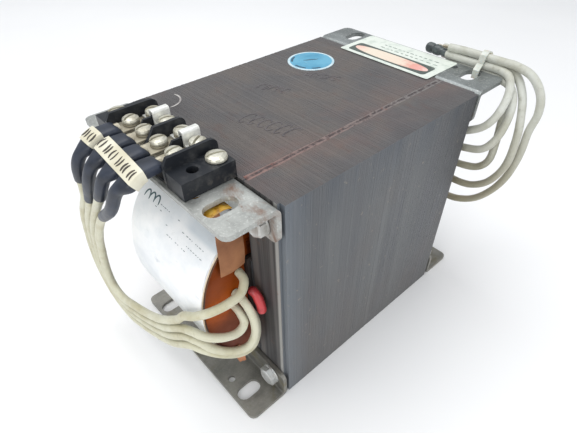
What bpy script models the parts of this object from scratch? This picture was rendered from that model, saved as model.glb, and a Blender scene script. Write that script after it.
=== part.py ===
"""Open-frame control transformer: EI-laminated core, machine-wound coil, terminal block and flying leads.

Frame: +Z up, front (terminal side) towards -Y, origin at the bottom centre, between the feet.
Units are metres; MM turns a drawing size in millimetres into metres.
"""

from math import atan2, cos, pi, radians, sin

import bmesh
import bpy
from mathutils import Matrix, Vector

MM = 0.001
GAP = 0.3 * MM  # clearance between touching pieces

# Lamination: scrapless EI pattern, every size a multiple of half the tongue.
UNIT = 22.225 * MM  # half of a 44.45 mm tongue
STACK = 130.8 * MM
CORE_BOTTOM = GAP
CORE_TOP = CORE_BOTTOM + 6 * UNIT
AXIS_Z = CORE_BOTTOM + 3 * UNIT  # middle of the centre leg
FACE_Y = STACK / 2  # end faces of the stack at -FACE_Y and +FACE_Y
CORNER_HOLE_X = 2.06 * UNIT
CORNER_HOLE_INSET = 0.5 * UNIT
CORNER_HOLE_D = 7.2 * MM

# Mounting brackets: four equal angles.
SHEET = 2.2 * MM
FLANGE_OUT = 24.4 * MM
FLANGE_UP = 17.3 * MM
BEND_R = 3.2 * MM
TIP_R = 3.6 * MM
SLOT_W = 8.2 * MM
SLOT_L = 14.2 * MM
SLOT_X = 1.83 * UNIT
SLOT_OUT = 15.3 * MM
PILOT_D = 4.2 * MM
PILOT_X = 29.0 * MM
PILOT_OUT = 18.5 * MM

# Through bolts, 1/4 inch.
BOLT_D = 6.35 * MM
BOLT_FLATS = 11.1 * MM
BOLT_HEAD = 4.4 * MM
WASHER_FACE = 0.6 * MM
NUT_T = 5.6 * MM
BOLT_TAIL = 3.0 * MM

# Coil around the centre leg; each layer is (build in the window, build outside the stack, roundness).
COIL_HALF = 31.6 * MM
TUBE_HALF = 32.6 * MM
WIRE_HALF = 30.4 * MM
SQUARE = 0.0  # roundness of a layer with square corners
LAYERS = {
    "winding_tube": ((0.4, 0.4, SQUARE), (1.9, 1.9, SQUARE)),
    "inner_winding": ((2.2, 2.2, SQUARE), (10.0, 13.0, 3.0)),
    "winding_insulation": ((10.3, 13.3, 3.0), (11.4, 14.4, 3.0)),
    "outer_winding": ((11.7, 14.7, 3.0), (19.8, 27.6, 2.0)),
    "coil_wrap": ((20.1, 27.9, 2.0), (21.1, 28.9, 2.0)),
}

# Terminal block on the front top flange.
FLANGE_TOP = CORE_TOP + GAP
POLES = 4
POLE_PITCH = 11.33 * MM
POLE_MID = -4.1 * MM
BLOCK_Z = FLANGE_TOP + GAP
BLOCK_DEPTH = 23.3 * MM
BLOCK_BACK = -FACE_Y - 0.4 * MM
BLOCK_END = 11.0 * MM
FLOOR_H = 5.1 * MM
END_H = 7.4 * MM
BARRIER_H = 12.2 * MM
LOW_BARRIER_H = 10.4 * MM
BARRIER_T = 1.6 * MM
LOW_BARRIER_T = 1.1 * MM
FRONT_ROW = -15.6 * MM  # screw rows, measured from the core's front face
REAR_ROW = -5.0 * MM
PLATE_T = 1.0 * MM
PLATE_W = 9.0 * MM

# Terminal screws, 8-32 binding head, each on a captive washer.
HEAD_D = 7.2 * MM
HEAD_H = 2.3 * MM
SHANK_D = 4.1 * MM
SHANK_L = 7.6 * MM
SCREW_HOLE_D = 4.8 * MM
SCREW_SLOT_W = 1.1 * MM
SCREW_SLOT_T = 1.2 * MM
SLOT_TURNS = {"front": [104, 86, 82, 94], "rear": [62, 75, 48, 118]}  # degrees, where each screw was left
WASHER_D = 7.2 * MM
WASHER_T = 0.7 * MM
FOOT_T = 0.7 * MM  # lug tongues and jumper feet
HUMP_W = 3.5 * MM
HUMP_TOP = 13.2 * MM
LINK_W = 7.8 * MM
MOUNT_HEAD_D = 8.6 * MM

PLATE_Z = BLOCK_Z + FLOOR_H + GAP
FOOT_Z = PLATE_Z + PLATE_T + GAP
WASHER_Z = FOOT_Z + FOOT_T + GAP
HEAD_Z = WASHER_Z + WASHER_T + GAP

# Leads: 14 AWG stranded, fibreglass sleeved.
LEAD_D = 3.5 * MM
LEAD_STEP = 2.4 * LEAD_D
BARREL_D = 4.2 * MM
BARREL_L = 6.5 * MM
BARREL_START = 5.6 * MM  # in front of the screw
BARREL_RISE = 0.9 * MM  # its middle, above the tongue's underside
LUG_R = 4.3 * MM
RIBBON_PITCH = 4.8 * MM

# Middle line of the ribbon of four front leads, from the terminals round to the coil (mm).
RIBBON = [
    (-32, -105.5, 104), (-45, -106.5, 86), (-53, -107, 68), (-58, -107.5, 50), (-56.5, -108, 35),
    (-48, -108, 27), (-36, -107.5, 26), (-22, -106.5, 31), (-7, -105, 37), (8, -103, 45),
    (21, -100, 55),
]
# From each ring lug down to the ribbon: steps (x, y, z) from the end of the lug's barrel (mm).
TAKE_OFF = [
    [(0, 0, 0), (0, -2.8, -0.5), (-0.4, -6.6, -2.7), (-2, -10.6, -6.6), (-6, -12.3, -14.3)],
    [(0, 0, 0), (0, -2.8, -0.5), (-0.3, -6.6, -2.7), (-2.3, -10.6, -6.6), (-8, -12.3, -15.8)],
    [(0, 0, 0), (0, -2.8, -0.5), (-0.4, -6.6, -2.7), (-2.8, -10.6, -6.6), (-11, -12.3, -18.8)],
    [(0, 0, 0), (0, -2.8, -0.5), (-0.5, -6.6, -2.8), (-4, -10.6, -7), (-14, -12.3, -20.8)],
]
# From the ribbon into the coil's right end (mm).
RUN_IN = [
    [(32, -97.5, 50), (37, -90.5, 44.5), (39, -82, 38.5), (39.8, -75, 38), (39.3, -70.8, 44),
     (38.2, -69.6, 53), (36.2, -69.8, 57.6), (31.95, -70, 58.4)],
    [(30, -98.2, 56), (36.6, -93.5, 51.5), (40.6, -86, 46.4), (43, -79, 46), (43.6, -74.8, 52),
     (43, -73.8, 61), (41, -74.4, 69), (37.2, -75.2, 73.8), (31.95, -75.5, 74.6)],
    [(28, -98.8, 62.2), (35.2, -95.6, 62.2), (39.6, -89, 60), (40.8, -82, 58.4), (40, -77.6, 61),
     (36.8, -77, 65.2), (31.95, -77, 66.4)],
    [(24, -99, 70), (32.6, -97.2, 76.6), (38, -91.6, 80), (40.6, -84, 82), (40.4, -77.4, 83.2),
     (37.2, -73, 85.6), (31.95, -72, 86.2)],
]
# Rear leads, from the coil's right end, out and up behind the rear top bracket (mm).
REAR_LEADS = [
    [(31.95, 73, 101), (40, 72.6, 102.5), (50, 72.4, 108), (59, 73.5, 113.5), (62.5, 78, 120),
     (62, 85, 128), (58, 90.2, 134.6), (51, 92.2, 136.4), (40.7, 92.2, 136.2), (28, 92.4, 136),
     (15, 93.4, 136)],
    [(31.95, 76, 95.5), (42, 75, 96), (53, 74, 98), (62, 74.5, 101), (66, 78, 107), (66.5, 83.5, 116),
     (64, 88.5, 125), (58.5, 91.8, 130.3), (50, 92.4, 132), (40.7, 92.4, 132.2), (30, 92.5, 132),
     (22, 92.8, 131.4)],
    [(31.95, 80, 82), (42, 80.5, 82), (52, 81.3, 82.6), (60, 82, 85), (64.6, 82.6, 91.5), (64.5, 84, 102),
     (62.4, 87.4, 113), (60.4, 92.4, 122.6), (56.4, 96, 129.6), (50, 96.5, 132.8), (40.7, 96.2, 133.2),
     (28, 96.4, 133), (17, 96.9, 132.4)],
    [(31.95, 84, 70), (42, 82.8, 69.6), (52, 82, 70), (61, 82, 72.5), (69, 82.5, 79.5), (74, 84, 92),
     (73.5, 86.5, 106), (70.5, 89.5, 118), (66, 93, 127.5), (59, 95.8, 134.5), (50, 96.1, 137.2),
     (40.7, 96.1, 137.3), (28, 96.6, 137.4), (13, 97.4, 137.2)],
    [(31.95, 86, 54), (42, 86.6, 53), (52, 87.5, 54), (62, 88.5, 59.5), (70, 89.5, 70), (75, 90, 83),
     (76.8, 90.5, 98), (76.3, 91.5, 111), (77, 93, 121), (74, 94.5, 130), (67, 95, 137), (58, 94, 140),
     (50, 93.3, 140.3), (40.7, 93.2, 140.3), (28, 93, 140.2), (19, 92.6, 139.8)],
]

# Cable tie through the rear top bracket's slot, section along the bundle (y, z in mm).
TIE_INSIDE = [
    (87.1, 131.3), (87.1, 134.6), (89.8, 137.2), (91.0, 141.3), (93.2, 142.6), (95.6, 141.8),
    (98.4, 138.4), (98.6, 132.6), (97.2, 130.8), (94.0, 129.6), (90.4, 130.6),
]
TIE_T = 1.0 * MM
TIE_W = 3.4 * MM
TIE_X = 40.7 * MM

# Insulation paper and sleeve at the coil's front end.
FLAP_X = 34.0 * MM
FLAP_T = 0.8 * MM
SLEEVE_D = 4.8 * MM

PARTS = None
MATERIALS = {}


def start_file():
    """Clears the scene and makes the collection for the parts."""
    global PARTS
    for old in list(bpy.data.objects):
        bpy.data.objects.remove(old, do_unlink=True)
    PARTS = bpy.data.collections.new("control_transformer")
    bpy.context.scene.collection.children.link(PARTS)


def material(name, colour, roughness, metallic=0.0):
    """A Principled material, made once for each name."""
    if name not in MATERIALS:
        made = bpy.data.materials.new(name)
        made.use_nodes = True
        shader = made.node_tree.nodes["Principled BSDF"]
        shader.inputs["Base Color"].default_value = (*colour, 1.0)
        shader.inputs["Roughness"].default_value = roughness
        shader.inputs["Metallic"].default_value = metallic
        made.diffuse_color = (*colour, 1.0)
        MATERIALS[name] = made
    return MATERIALS[name]


def lamination_steel():
    return material("lamination_steel", (0.17, 0.17, 0.18), 0.45, 0.7)


def zinc_plate():
    return material("zinc_plate", (0.5, 0.49, 0.47), 0.4, 0.8)


def nickel():
    return material("nickel", (0.6, 0.58, 0.53), 0.3, 0.9)


def phenolic():
    return material("phenolic", (0.02, 0.025, 0.032), 0.35)


def add_object(name, mesh, finish):
    """Puts a mesh in the parts collection as a named object."""
    made = bpy.data.objects.new(name, mesh)
    PARTS.objects.link(made)
    if finish:
        mesh.materials.clear()
        mesh.materials.append(finish)
    return made


def baked(source):
    """The mesh that an object shows in world space, welded; the object and its cutters go."""
    bpy.context.view_layer.update()
    evaluated = source.evaluated_get(bpy.context.evaluated_depsgraph_get())
    mesh = bpy.data.meshes.new_from_object(evaluated)
    mesh.transform(source.matrix_world)
    cutters = [m.object for m in source.modifiers if m.type == "BOOLEAN"]
    for used in [source, *cutters]:
        bpy.data.objects.remove(used, do_unlink=True)
    work = bmesh.new()
    work.from_mesh(mesh)
    bmesh.ops.remove_doubles(work, verts=work.verts, dist=0.000005)
    work.to_mesh(mesh)
    work.free()
    return mesh


def round_points(x, y, radius, first=0.0, last=360.0, steps=16):
    """Points on an arc, in degrees; a full turn leaves out the repeated last point."""
    whole = abs(last - first) >= 360
    count = steps if whole else steps + 1
    angles = [radians(first + (last - first) * i / steps) for i in range(count)]
    return [(x + radius * cos(a), y + radius * sin(a)) for a in angles]


def slot_points(x, y, width, length, steps=8):
    """A slot that is long in y, with round ends."""
    reach = (length - width) / 2
    upper = round_points(x, y + reach, width / 2, 0, 180, steps)
    lower = round_points(x, y - reach, width / 2, 180, 360, steps)
    return upper + lower


def hexagon(flats):
    return round_points(0, 0, flats / 3 ** 0.5, 30, 390, 6)


def outline_mesh(loops, depth, turn=None, place=(0, 0, 0)):
    """Flat outlines, given thickness along local z, as a closed mesh. Inner loops are holes."""
    curve = bpy.data.curves.new("outline", "CURVE")
    curve.dimensions = "2D"
    curve.fill_mode = "BOTH"
    curve.extrude = depth / 2
    for loop in loops:
        spline = curve.splines.new("POLY")
        spline.points.add(len(loop) - 1)
        spline.use_cyclic_u = True
        for point, (x, y) in zip(spline.points, loop):
            point.co = (x, y, 0, 1)
    made = bpy.data.objects.new("outline", curve)
    PARTS.objects.link(made)
    made.matrix_world = Matrix.Translation(place) @ (turn or Matrix.Identity(4))
    return baked(made)


ALONG_X = Matrix.Rotation(pi / 2, 4, "Z") @ Matrix.Rotation(pi / 2, 4, "X")  # outline in (y, z)
ALONG_Y = Matrix.Rotation(pi / 2, 4, "X")  # outline in (x, z)


def box_mesh(low, high):
    """A box between two corners."""
    work = bmesh.new()
    bmesh.ops.create_cube(work, size=1.0)
    middle = [(a + b) / 2 for a, b in zip(low, high)]
    size = [b - a for a, b in zip(low, high)]
    for vertex in work.verts:
        vertex.co = [m + s * c for m, s, c in zip(middle, size, vertex.co)]
    mesh = bpy.data.meshes.new("box")
    work.to_mesh(mesh)
    work.free()
    return mesh


def rod_mesh(start, end, radius, sides=16):
    """A cylinder between two points."""
    line = Vector(end) - Vector(start)
    place = Matrix.Translation((Vector(start) + Vector(end)) / 2)
    turn = line.to_track_quat("Z", "Y").to_matrix().to_4x4()
    work = bmesh.new()
    bmesh.ops.create_cone(
        work, cap_ends=True, segments=sides, radius1=radius, radius2=radius,
        depth=line.length, matrix=place @ turn,
    )
    mesh = bpy.data.meshes.new("rod")
    work.to_mesh(mesh)
    work.free()
    return mesh


def combined(base, others, operation):
    """base with the other meshes joined to it or cut from it, one exact Boolean each."""
    made = bpy.data.objects.new("combined", base)
    PARTS.objects.link(made)
    for other in others:
        tool = bpy.data.objects.new("tool", other)
        PARTS.objects.link(tool)
        tool.hide_render = True
        tool.display_type = "WIRE"
        step = made.modifiers.new("step", "BOOLEAN")
        step.solver = "EXACT"
        step.operation = operation
        step.object = tool
    return baked(made)


def joined(base, *others):
    return combined(base, others, "UNION")


def cut(base, *others):
    return combined(base, others, "DIFFERENCE")


def smooth(mesh, angle=35):
    mesh.shade_smooth()
    mesh.set_sharp_from_angle(angle=radians(angle))
    return mesh


def turned_mesh(profile, steps=16):
    """A turned shape from (radius, z) points, from the top on the axis to the bottom on the axis."""
    mesh = bpy.data.meshes.new("profile")
    edges = [(i, i + 1) for i in range(len(profile) - 1)]
    mesh.from_pydata([(r, 0, z) for r, z in profile], edges, [])
    made = bpy.data.objects.new("turned", mesh)
    PARTS.objects.link(made)
    spin = made.modifiers.new("spin", "SCREW")
    spin.steps = steps
    spin.render_steps = steps
    spin.use_merge_vertices = True
    spin.merge_threshold = 0.00001
    return smooth(baked(made))


def core():
    """The E and I stacks: laminations lie in the x-z plane and are stacked along y."""
    left = -2.5 * UNIT
    joint = 1.5 * UNIT
    top = [CORE_BOTTOM + k * UNIT for k in range(7)]
    tip = joint - GAP / 2
    outline = [
        (left, top[0]), (tip, top[0]), (tip, top[1]), (-joint, top[1]), (-joint, top[2]), (tip, top[2]),
        (tip, top[4]), (-joint, top[4]), (-joint, top[5]), (tip, top[5]), (tip, top[6]), (left, top[6]),
    ]
    heights = (CORE_BOTTOM + CORNER_HOLE_INSET, CORE_TOP - CORNER_HOLE_INSET)
    for name, side, loop in (
        ("core_e_stack", -1, outline),
        ("core_i_stack", 1, [(joint + GAP / 2, top[0]), (-left, top[0]), (-left, top[6]),
                             (joint + GAP / 2, top[6])]),
    ):
        holes = [round_points(side * CORNER_HOLE_X, z, CORNER_HOLE_D / 2) for z in heights]
        add_object(name, outline_mesh([loop, *holes], STACK, ALONG_Y), lamination_steel())


def bracket_mesh():
    """An angle in its own frame: outer corner of the bend at the origin, flanges along -y and -z."""
    bend = round_points(-BEND_R, -BEND_R, BEND_R, 0, 90, 5)
    inner = round_points(-BEND_R, -BEND_R, BEND_R - SHEET, 90, 0, 4)
    section = bend + [(-FLANGE_OUT, 0), (-FLANGE_OUT, -SHEET)] + inner
    section += [(-SHEET, -FLANGE_UP), (0, -FLANGE_UP)]
    angle = outline_mesh([section], 5 * UNIT, ALONG_X)
    slots = [slot_points(side * SLOT_X, -SLOT_OUT, SLOT_W, SLOT_L) for side in (-1, 1)]
    pilots = [round_points(side * PILOT_X, -PILOT_OUT, PILOT_D / 2, steps=12) for side in (-1, 1)]
    flat_cuts = slots + pilots + tip_corners(-FLANGE_OUT)
    down_cuts = [round_points(side * CORNER_HOLE_X, -CORNER_HOLE_INSET - GAP, CORNER_HOLE_D / 2)
                 for side in (-1, 1)]
    down_cuts += tip_corners(-FLANGE_UP)
    through = 6 * SHEET
    return cut(angle, outline_mesh(flat_cuts, through), outline_mesh(down_cuts, through, ALONG_Y))


def tip_corners(edge):
    """Waste that rounds the two corners of a flange whose tip is at y = edge; its ends run clear outside."""
    waste = []
    for side in (-1, 1):
        x = side * 2.5 * UNIT
        arc = [Vector(point) for point in round_points(0, 0, TIP_R, 0, 90, 4)]
        arc[0] += arc[0] - arc[1]
        arc[-1] += arc[-1] - arc[-2]
        curve = [(x - side * (TIP_R - point.x), edge + TIP_R - point.y) for point in arc]
        waste.append(curve + [(curve[-1][0], edge - SHEET), (x + side * SHEET, edge - SHEET),
                              (x + side * SHEET, curve[0][1])])
    return waste


def brackets():
    """One angle design, used at the top and bottom of both end faces."""
    mesh = bracket_mesh()
    upside_down = Matrix.Rotation(pi, 4, "Y")
    half_turn = Matrix.Rotation(pi, 4, "Z")
    for end, turn, side in (("front", Matrix.Identity(4), -1), ("rear", half_turn, 1)):
        for level, tip, z in (("top", Matrix.Identity(4), FLANGE_TOP), ("bottom", upside_down, 0.0)):
            made = add_object(f"{end}_{level}_bracket", mesh, zinc_plate())
            made.matrix_world = Matrix.Translation((0, side * (FACE_Y + GAP), z)) @ turn @ tip


def bolt_mesh():
    """A hex bolt along +y, with its washer face at y = 0."""
    reach = STACK + 2 * (SHEET + 2 * GAP) + GAP + NUT_T + BOLT_TAIL
    head = outline_mesh([hexagon(BOLT_FLATS)], BOLT_HEAD, ALONG_Y, (0, -WASHER_FACE - BOLT_HEAD / 2, 0))
    face = rod_mesh((0, -WASHER_FACE - GAP, 0), (0, 0, 0), BOLT_FLATS * 0.62, 20)
    shank = rod_mesh((0, -WASHER_FACE, 0), (0, reach, 0), BOLT_D / 2, 14)
    return smooth(joined(head, face, shank), 20)


def clamp_bolts():
    """Four through bolts, heads at the front, with plain hex nuts at the rear."""
    bolt = bolt_mesh()
    hole = round_points(0, 0, BOLT_D / 2 + GAP, steps=14)
    nut = outline_mesh([hexagon(BOLT_FLATS), hole], NUT_T, ALONG_Y)
    seat = FACE_Y + SHEET + 2 * GAP
    heights = {"bottom": CORE_BOTTOM + CORNER_HOLE_INSET, "top": CORE_TOP - CORNER_HOLE_INSET}
    for level, z in heights.items():
        for side, x in (("left", -CORNER_HOLE_X), ("right", CORNER_HOLE_X)):
            add_object(f"clamp_bolt_{level}_{side}", bolt, zinc_plate()).location = (x, -seat, z)
            made = add_object(f"clamp_nut_{level}_{side}", nut, zinc_plate())
            made.location = (x, seat + NUT_T / 2, z)


def layer_loop(window_build, end_build, roundness):
    """A coil layer's outline in (y, z): straight over the stack, then square or rounded over its ends."""
    high = UNIT + window_build * MM
    out = end_build * MM
    if roundness == SQUARE:
        reach = FACE_Y + out
        return [(reach, AXIS_Z - high), (reach, AXIS_Z + high), (-reach, AXIS_Z + high),
                (-reach, AXIS_Z - high)]
    power = 2 / roundness
    end = []
    for i in range(17):
        angle = radians(-90 + 180 * i / 16)
        side = abs(cos(angle)) ** power
        rise = abs(sin(angle)) ** power * (1 if angle > 0 else -1)
        end.append((FACE_Y + out * side, AXIS_Z + high * rise))
    return end + [(-y, 2 * AXIS_Z - z) for y, z in end]


def coil():
    """Winding tube, windings, insulation and outer wrap, as closed rings around the centre leg."""
    kraft = material("kraft_board", (0.42, 0.25, 0.13), 0.7)
    copper = material("enamelled_copper", (0.45, 0.16, 0.06), 0.35, 0.5)
    film = material("insulation_film", (0.42, 0.16, 0.03), 0.3)
    white = material("white_wrap", (0.75, 0.75, 0.74), 0.5)
    finishes = {"winding_tube": kraft, "inner_winding": copper, "winding_insulation": film,
                "outer_winding": copper, "coil_wrap": white}
    halves = {"winding_tube": TUBE_HALF, "coil_wrap": COIL_HALF}
    for name, (inside, outside) in LAYERS.items():
        width = 2 * halves.get(name, WIRE_HALF)
        loops = [layer_loop(*outside), layer_loop(*inside)]
        add_object(name, smooth(outline_mesh(loops, width, ALONG_X)), finishes[name])


def flap():
    """Fish-paper flap over the coil's right end, folded in under the top flange."""
    near, far = -FACE_Y - SHEET - 3 * GAP, -FACE_Y - 15.6 * MM
    bottom, top = 90.7 * MM, FLANGE_TOP - SHEET - 2.0 * MM
    tongue = 12 * MM
    side = [(far, bottom), (near, bottom + 4 * MM), (near, top), (far - 0.8 * MM, top)]
    wall = outline_mesh([side], FLAP_T, ALONG_X, (FLAP_X, 0, 0))
    fold = box_mesh((FLAP_X - tongue, far, top - FLAP_T), (FLAP_X + FLAP_T / 2, near, top))
    finish = material("fish_paper", (0.45, 0.19, 0.08), 0.75)
    add_object("insulation_flap", joined(wall, fold), finish)


def pole_x(index):
    return POLE_MID + (index - (POLES - 1) / 2) * POLE_PITCH


def barrier(x, thickness, height, depth, back):
    """A barrier with a rounded rear top corner and a chamfered front one."""
    base = BLOCK_Z + 1 * MM
    top = BLOCK_Z + height
    radius = 3 * MM
    front = back - depth
    loop = [(front, base), (back, base)]
    loop += round_points(back - radius, top - radius, radius, 0, 90, 4)
    loop += [(front + 2 * MM, top), (front, top - 3 * MM)]
    return outline_mesh([loop], thickness, ALONG_X, (x, 0, 0))


def terminal_block():
    """Moulded double-row block: floor, mounting ends, tall and low barriers, screw holes."""
    half = POLES * POLE_PITCH / 2 + BARRIER_T / 2
    front, back = BLOCK_BACK - BLOCK_DEPTH, BLOCK_BACK
    low, high = POLE_MID - half, POLE_MID + half
    floor = box_mesh((low, front + 0.6 * MM, BLOCK_Z), (high, back - 0.4 * MM, BLOCK_Z + FLOOR_H))
    ends = [
        box_mesh((low - BLOCK_END, front, BLOCK_Z), (low + 1 * MM, back, BLOCK_Z + END_H)),
        box_mesh((high - 1 * MM, front, BLOCK_Z), (high + BLOCK_END, back, BLOCK_Z + END_H)),
    ]
    walls = []
    for k in range(POLES + 1):
        x = POLE_MID + (k - POLES / 2) * POLE_PITCH
        if k % 2:
            walls.append(barrier(x, LOW_BARRIER_T, LOW_BARRIER_H, BLOCK_DEPTH - 2 * MM, back - 0.7 * MM))
        else:
            walls.append(barrier(x, BARRIER_T, BARRIER_H, BLOCK_DEPTH + 0.4 * MM, back + 0.2 * MM))
    body = joined(floor, *ends, *walls)
    rows = (-FACE_Y + FRONT_ROW, -FACE_Y + REAR_ROW)
    low_z, high_z = BLOCK_Z - 1 * MM, BLOCK_Z + BARRIER_H + 1 * MM
    spots = [(pole_x(i), y) for i in range(POLES) for y in rows]
    spots += [(x, y) for x in mounting_x() for y in rows]
    drills = [rod_mesh((x, y, low_z), (x, y, high_z), SCREW_HOLE_D / 2, 12) for x, y in spots]
    add_object("terminal_block", smooth(cut(body, *drills), 25), phenolic())


def mounting_x():
    """The middles of the block's left and right mounting ends."""
    half = POLES * POLE_PITCH / 2 + (BARRIER_T + BLOCK_END) / 2
    return POLE_MID - half, POLE_MID + half


def screw_mesh(head_d, head_h, shank_l):
    """A slotted binding-head screw with the underside of its head at z = 0."""
    rim = head_d / 2
    profile = [(0, head_h), (rim * 0.62, head_h * 0.9), (rim * 0.92, head_h * 0.6), (rim, head_h * 0.3),
               (rim, 0), (SHANK_D / 2, 0), (SHANK_D / 2, -shank_l), (0, -shank_l)]
    slot = box_mesh((-head_d, -SCREW_SLOT_W / 2, head_h - SCREW_SLOT_T),
                    (head_d, SCREW_SLOT_W / 2, head_h + 1 * MM))
    return smooth(cut(turned_mesh(profile), slot))


def ring_points(radius):
    return round_points(0, 0, radius, steps=18)


def terminals():
    """Contact plates, jumpers, ring lugs, washers and screws of the four poles."""
    rows = {"front": FRONT_ROW, "rear": REAR_ROW}
    screw = screw_mesh(HEAD_D, HEAD_H, SHANK_L)
    hole = ring_points(SCREW_HOLE_D / 2)
    washer = smooth(outline_mesh([ring_points(WASHER_D / 2), hole], WASHER_T))
    lug = lug_mesh()
    tips = (-FACE_Y + FRONT_ROW - 4.6 * MM, -FACE_Y + REAR_ROW + 4.2 * MM)
    for i in range(POLES):
        x = pole_x(i)
        plate = [(x - PLATE_W / 2, tips[0]), (x + PLATE_W / 2, tips[0]), (x + PLATE_W / 2, tips[1]),
                 (x - PLATE_W / 2, tips[1])]
        holes = [round_points(x, -FACE_Y + row, SCREW_HOLE_D / 2, steps=14) for row in rows.values()]
        mesh = outline_mesh([plate, *holes], PLATE_T, None, (0, 0, PLATE_Z + PLATE_T / 2))
        add_object(f"terminal_plate_{i + 1}", mesh, nickel())
        add_object(f"ring_lug_{i + 1}", lug, nickel()).location = (x, -FACE_Y + FRONT_ROW, FOOT_Z)
        for row, y in rows.items():
            made = add_object(f"terminal_washer_{row}_{i + 1}", washer, nickel())
            made.location = (x, -FACE_Y + y, WASHER_Z + WASHER_T / 2)
            made = add_object(f"terminal_screw_{row}_{i + 1}", screw, nickel())
            made.location = (x, -FACE_Y + y, HEAD_Z)
            made.rotation_euler.z = radians(SLOT_TURNS[row][i])
    for name, i in (("jumper_link_left", 0), ("jumper_link_right", 2)):
        middle = (pole_x(i) + pole_x(i + 1)) / 2
        add_object(name, jumper_mesh(), nickel()).location = (middle, -FACE_Y + REAR_ROW, FOOT_Z)


def lug_mesh():
    """A ring lug: flat tongue with its hole at the origin, and a barrel along -y."""
    tongue = round_points(0, 0, LUG_R, 0, 180, 12)
    tongue += [(-LUG_R, -BARREL_START - 1 * MM), (LUG_R, -BARREL_START - 1 * MM)]
    flat = outline_mesh([tongue, ring_points(SCREW_HOLE_D / 2)], FOOT_T, None, (0, 0, FOOT_T / 2))
    start, end = (0, -BARREL_START, BARREL_RISE), (0, -BARREL_START - BARREL_L, BARREL_RISE)
    barrel = rod_mesh(start, end, BARREL_D / 2, 14)
    return smooth(joined(flat, barrel), 30)


def jumper_mesh():
    """A jumper link: two feet with screw holes and a square hump over the low barrier."""
    reach = POLE_PITCH / 2 + 3.6 * MM
    half = HUMP_W / 2
    top = HUMP_TOP + FLANGE_TOP - FOOT_Z
    radius = 1.0 * MM
    outer = round_points(half - radius, top - radius, radius, 0, 90, 3)
    outer += round_points(radius - half, top - radius, radius, 90, 180, 3)
    inner_half = half - FOOT_T
    section = [(-half, FOOT_T), (-reach, FOOT_T), (-reach, 0), (-inner_half, 0),
               (-inner_half, top - FOOT_T), (inner_half, top - FOOT_T), (inner_half, 0), (reach, 0),
               (reach, FOOT_T), (half, FOOT_T)]
    strip = outline_mesh([section + outer], LINK_W, ALONG_Y)
    drills = [rod_mesh((side * POLE_PITCH / 2, 0, -1 * MM), (side * POLE_PITCH / 2, 0, 2 * MM),
                       SCREW_HOLE_D / 2, 16) for side in (-1, 1)]
    return cut(strip, *drills)


def block_screws():
    """Two screws hold the block, at its front left and rear right, threaded into the flange."""
    length = END_H + GAP - 0.3 * MM
    screw = screw_mesh(MOUNT_HEAD_D, HEAD_H, length)
    left, right = mounting_x()
    for name, x, row in (("block_screw_left", left, FRONT_ROW), ("block_screw_right", right, REAR_ROW)):
        made = add_object(name, screw, nickel())
        made.location = (x, -FACE_Y + row, BLOCK_Z + END_H + GAP)
        made.rotation_euler.z = radians(75)


def smooth_line(route):
    """Points along a Catmull-Rom curve through the route's points, an even step apart."""
    marks = [Vector(p) for p in route]
    marks = [2 * marks[0] - marks[1], *marks, 2 * marks[-1] - marks[-2]]
    fine = []
    for a, b, c, d in zip(marks, marks[1:], marks[2:], marks[3:]):
        for k in range(12):
            t = k / 12
            fine.append(0.5 * (2 * b + (c - a) * t + (2 * a - 5 * b + 4 * c - d) * t ** 2
                               + (3 * b - a - 3 * c + d) * t ** 3))
    fine.append(marks[-2])
    total = sum((q - p).length for p, q in zip(fine, fine[1:]))
    count = max(4, round(total / LEAD_STEP))
    line, target, gone = [fine[0]], total / count, 0.0
    for p, q in zip(fine, fine[1:]):
        span = (q - p).length
        while gone + span >= target and len(line) < count:
            line.append(p.lerp(q, (target - gone) / span))
            target += total / count
        gone += span
    line.append(fine[-1])
    return line


def add_tube(name, route, diameter, finish):
    """A wire or sleeve along a smooth line through a route in metres."""
    curve = bpy.data.curves.new(name, "CURVE")
    curve.dimensions = "3D"
    curve.bevel_depth = diameter / 2
    curve.bevel_resolution = 2
    curve.use_fill_caps = True
    line = smooth_line(route)
    spline = curve.splines.new("POLY")
    spline.points.add(len(line) - 1)
    for point, place in zip(spline.points, line):
        point.co = (*place, 1)
    curve.materials.append(finish)
    made = bpy.data.objects.new(name, curve)
    PARTS.objects.link(made)
    return made


def metres(route):
    return [tuple(c * MM for c in point) for point in route]


def beside(route, offset):
    """A route moved sideways in the x-z plane by offset, positive towards the outside of the loop."""
    moved = []
    for i, (x, y, z) in enumerate(route):
        before, after = route[max(i - 1, 0)], route[min(i + 1, len(route) - 1)]
        angle = atan2(after[2] - before[2], after[0] - before[0])
        moved.append((x + offset * sin(angle), y, z - offset * cos(angle)))
    return moved


def leads():
    """Four front leads from the ring lugs to the coil, and five rear leads."""
    finish = material("lead_sleeving", (0.62, 0.57, 0.42), 0.6)
    start_y = -FACE_Y + FRONT_ROW - BARREL_START - BARREL_L - 3 * GAP
    for i in range(POLES):
        exit_point = (pole_x(i), start_y, FOOT_Z + BARREL_RISE)
        first = [tuple(e + s * MM for e, s in zip(exit_point, step)) for step in TAKE_OFF[i]]
        offset = (1.5 - i) * RIBBON_PITCH
        route = first + beside(metres(RIBBON), offset) + metres(RUN_IN[i])
        add_tube(f"front_lead_{i + 1}", route, LEAD_D, finish)
    for i, route in enumerate(REAR_LEADS):
        add_tube(f"rear_lead_{i + 1}", metres(route), LEAD_D, finish)


def sleeve():
    """Red insulating sleeve that curls out between the coil's end and the core."""
    route = metres([(34.4, -70.2, 81), (39, -68.8, 77.4), (42.8, -68.6, 71), (44.2, -68.6, 63),
                    (43.2, -68.6, 57)])
    finish = material("red_sleeve", (0.35, 0.03, 0.03), 0.5)
    add_tube("red_sleeve", route, SLEEVE_D, finish)


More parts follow.
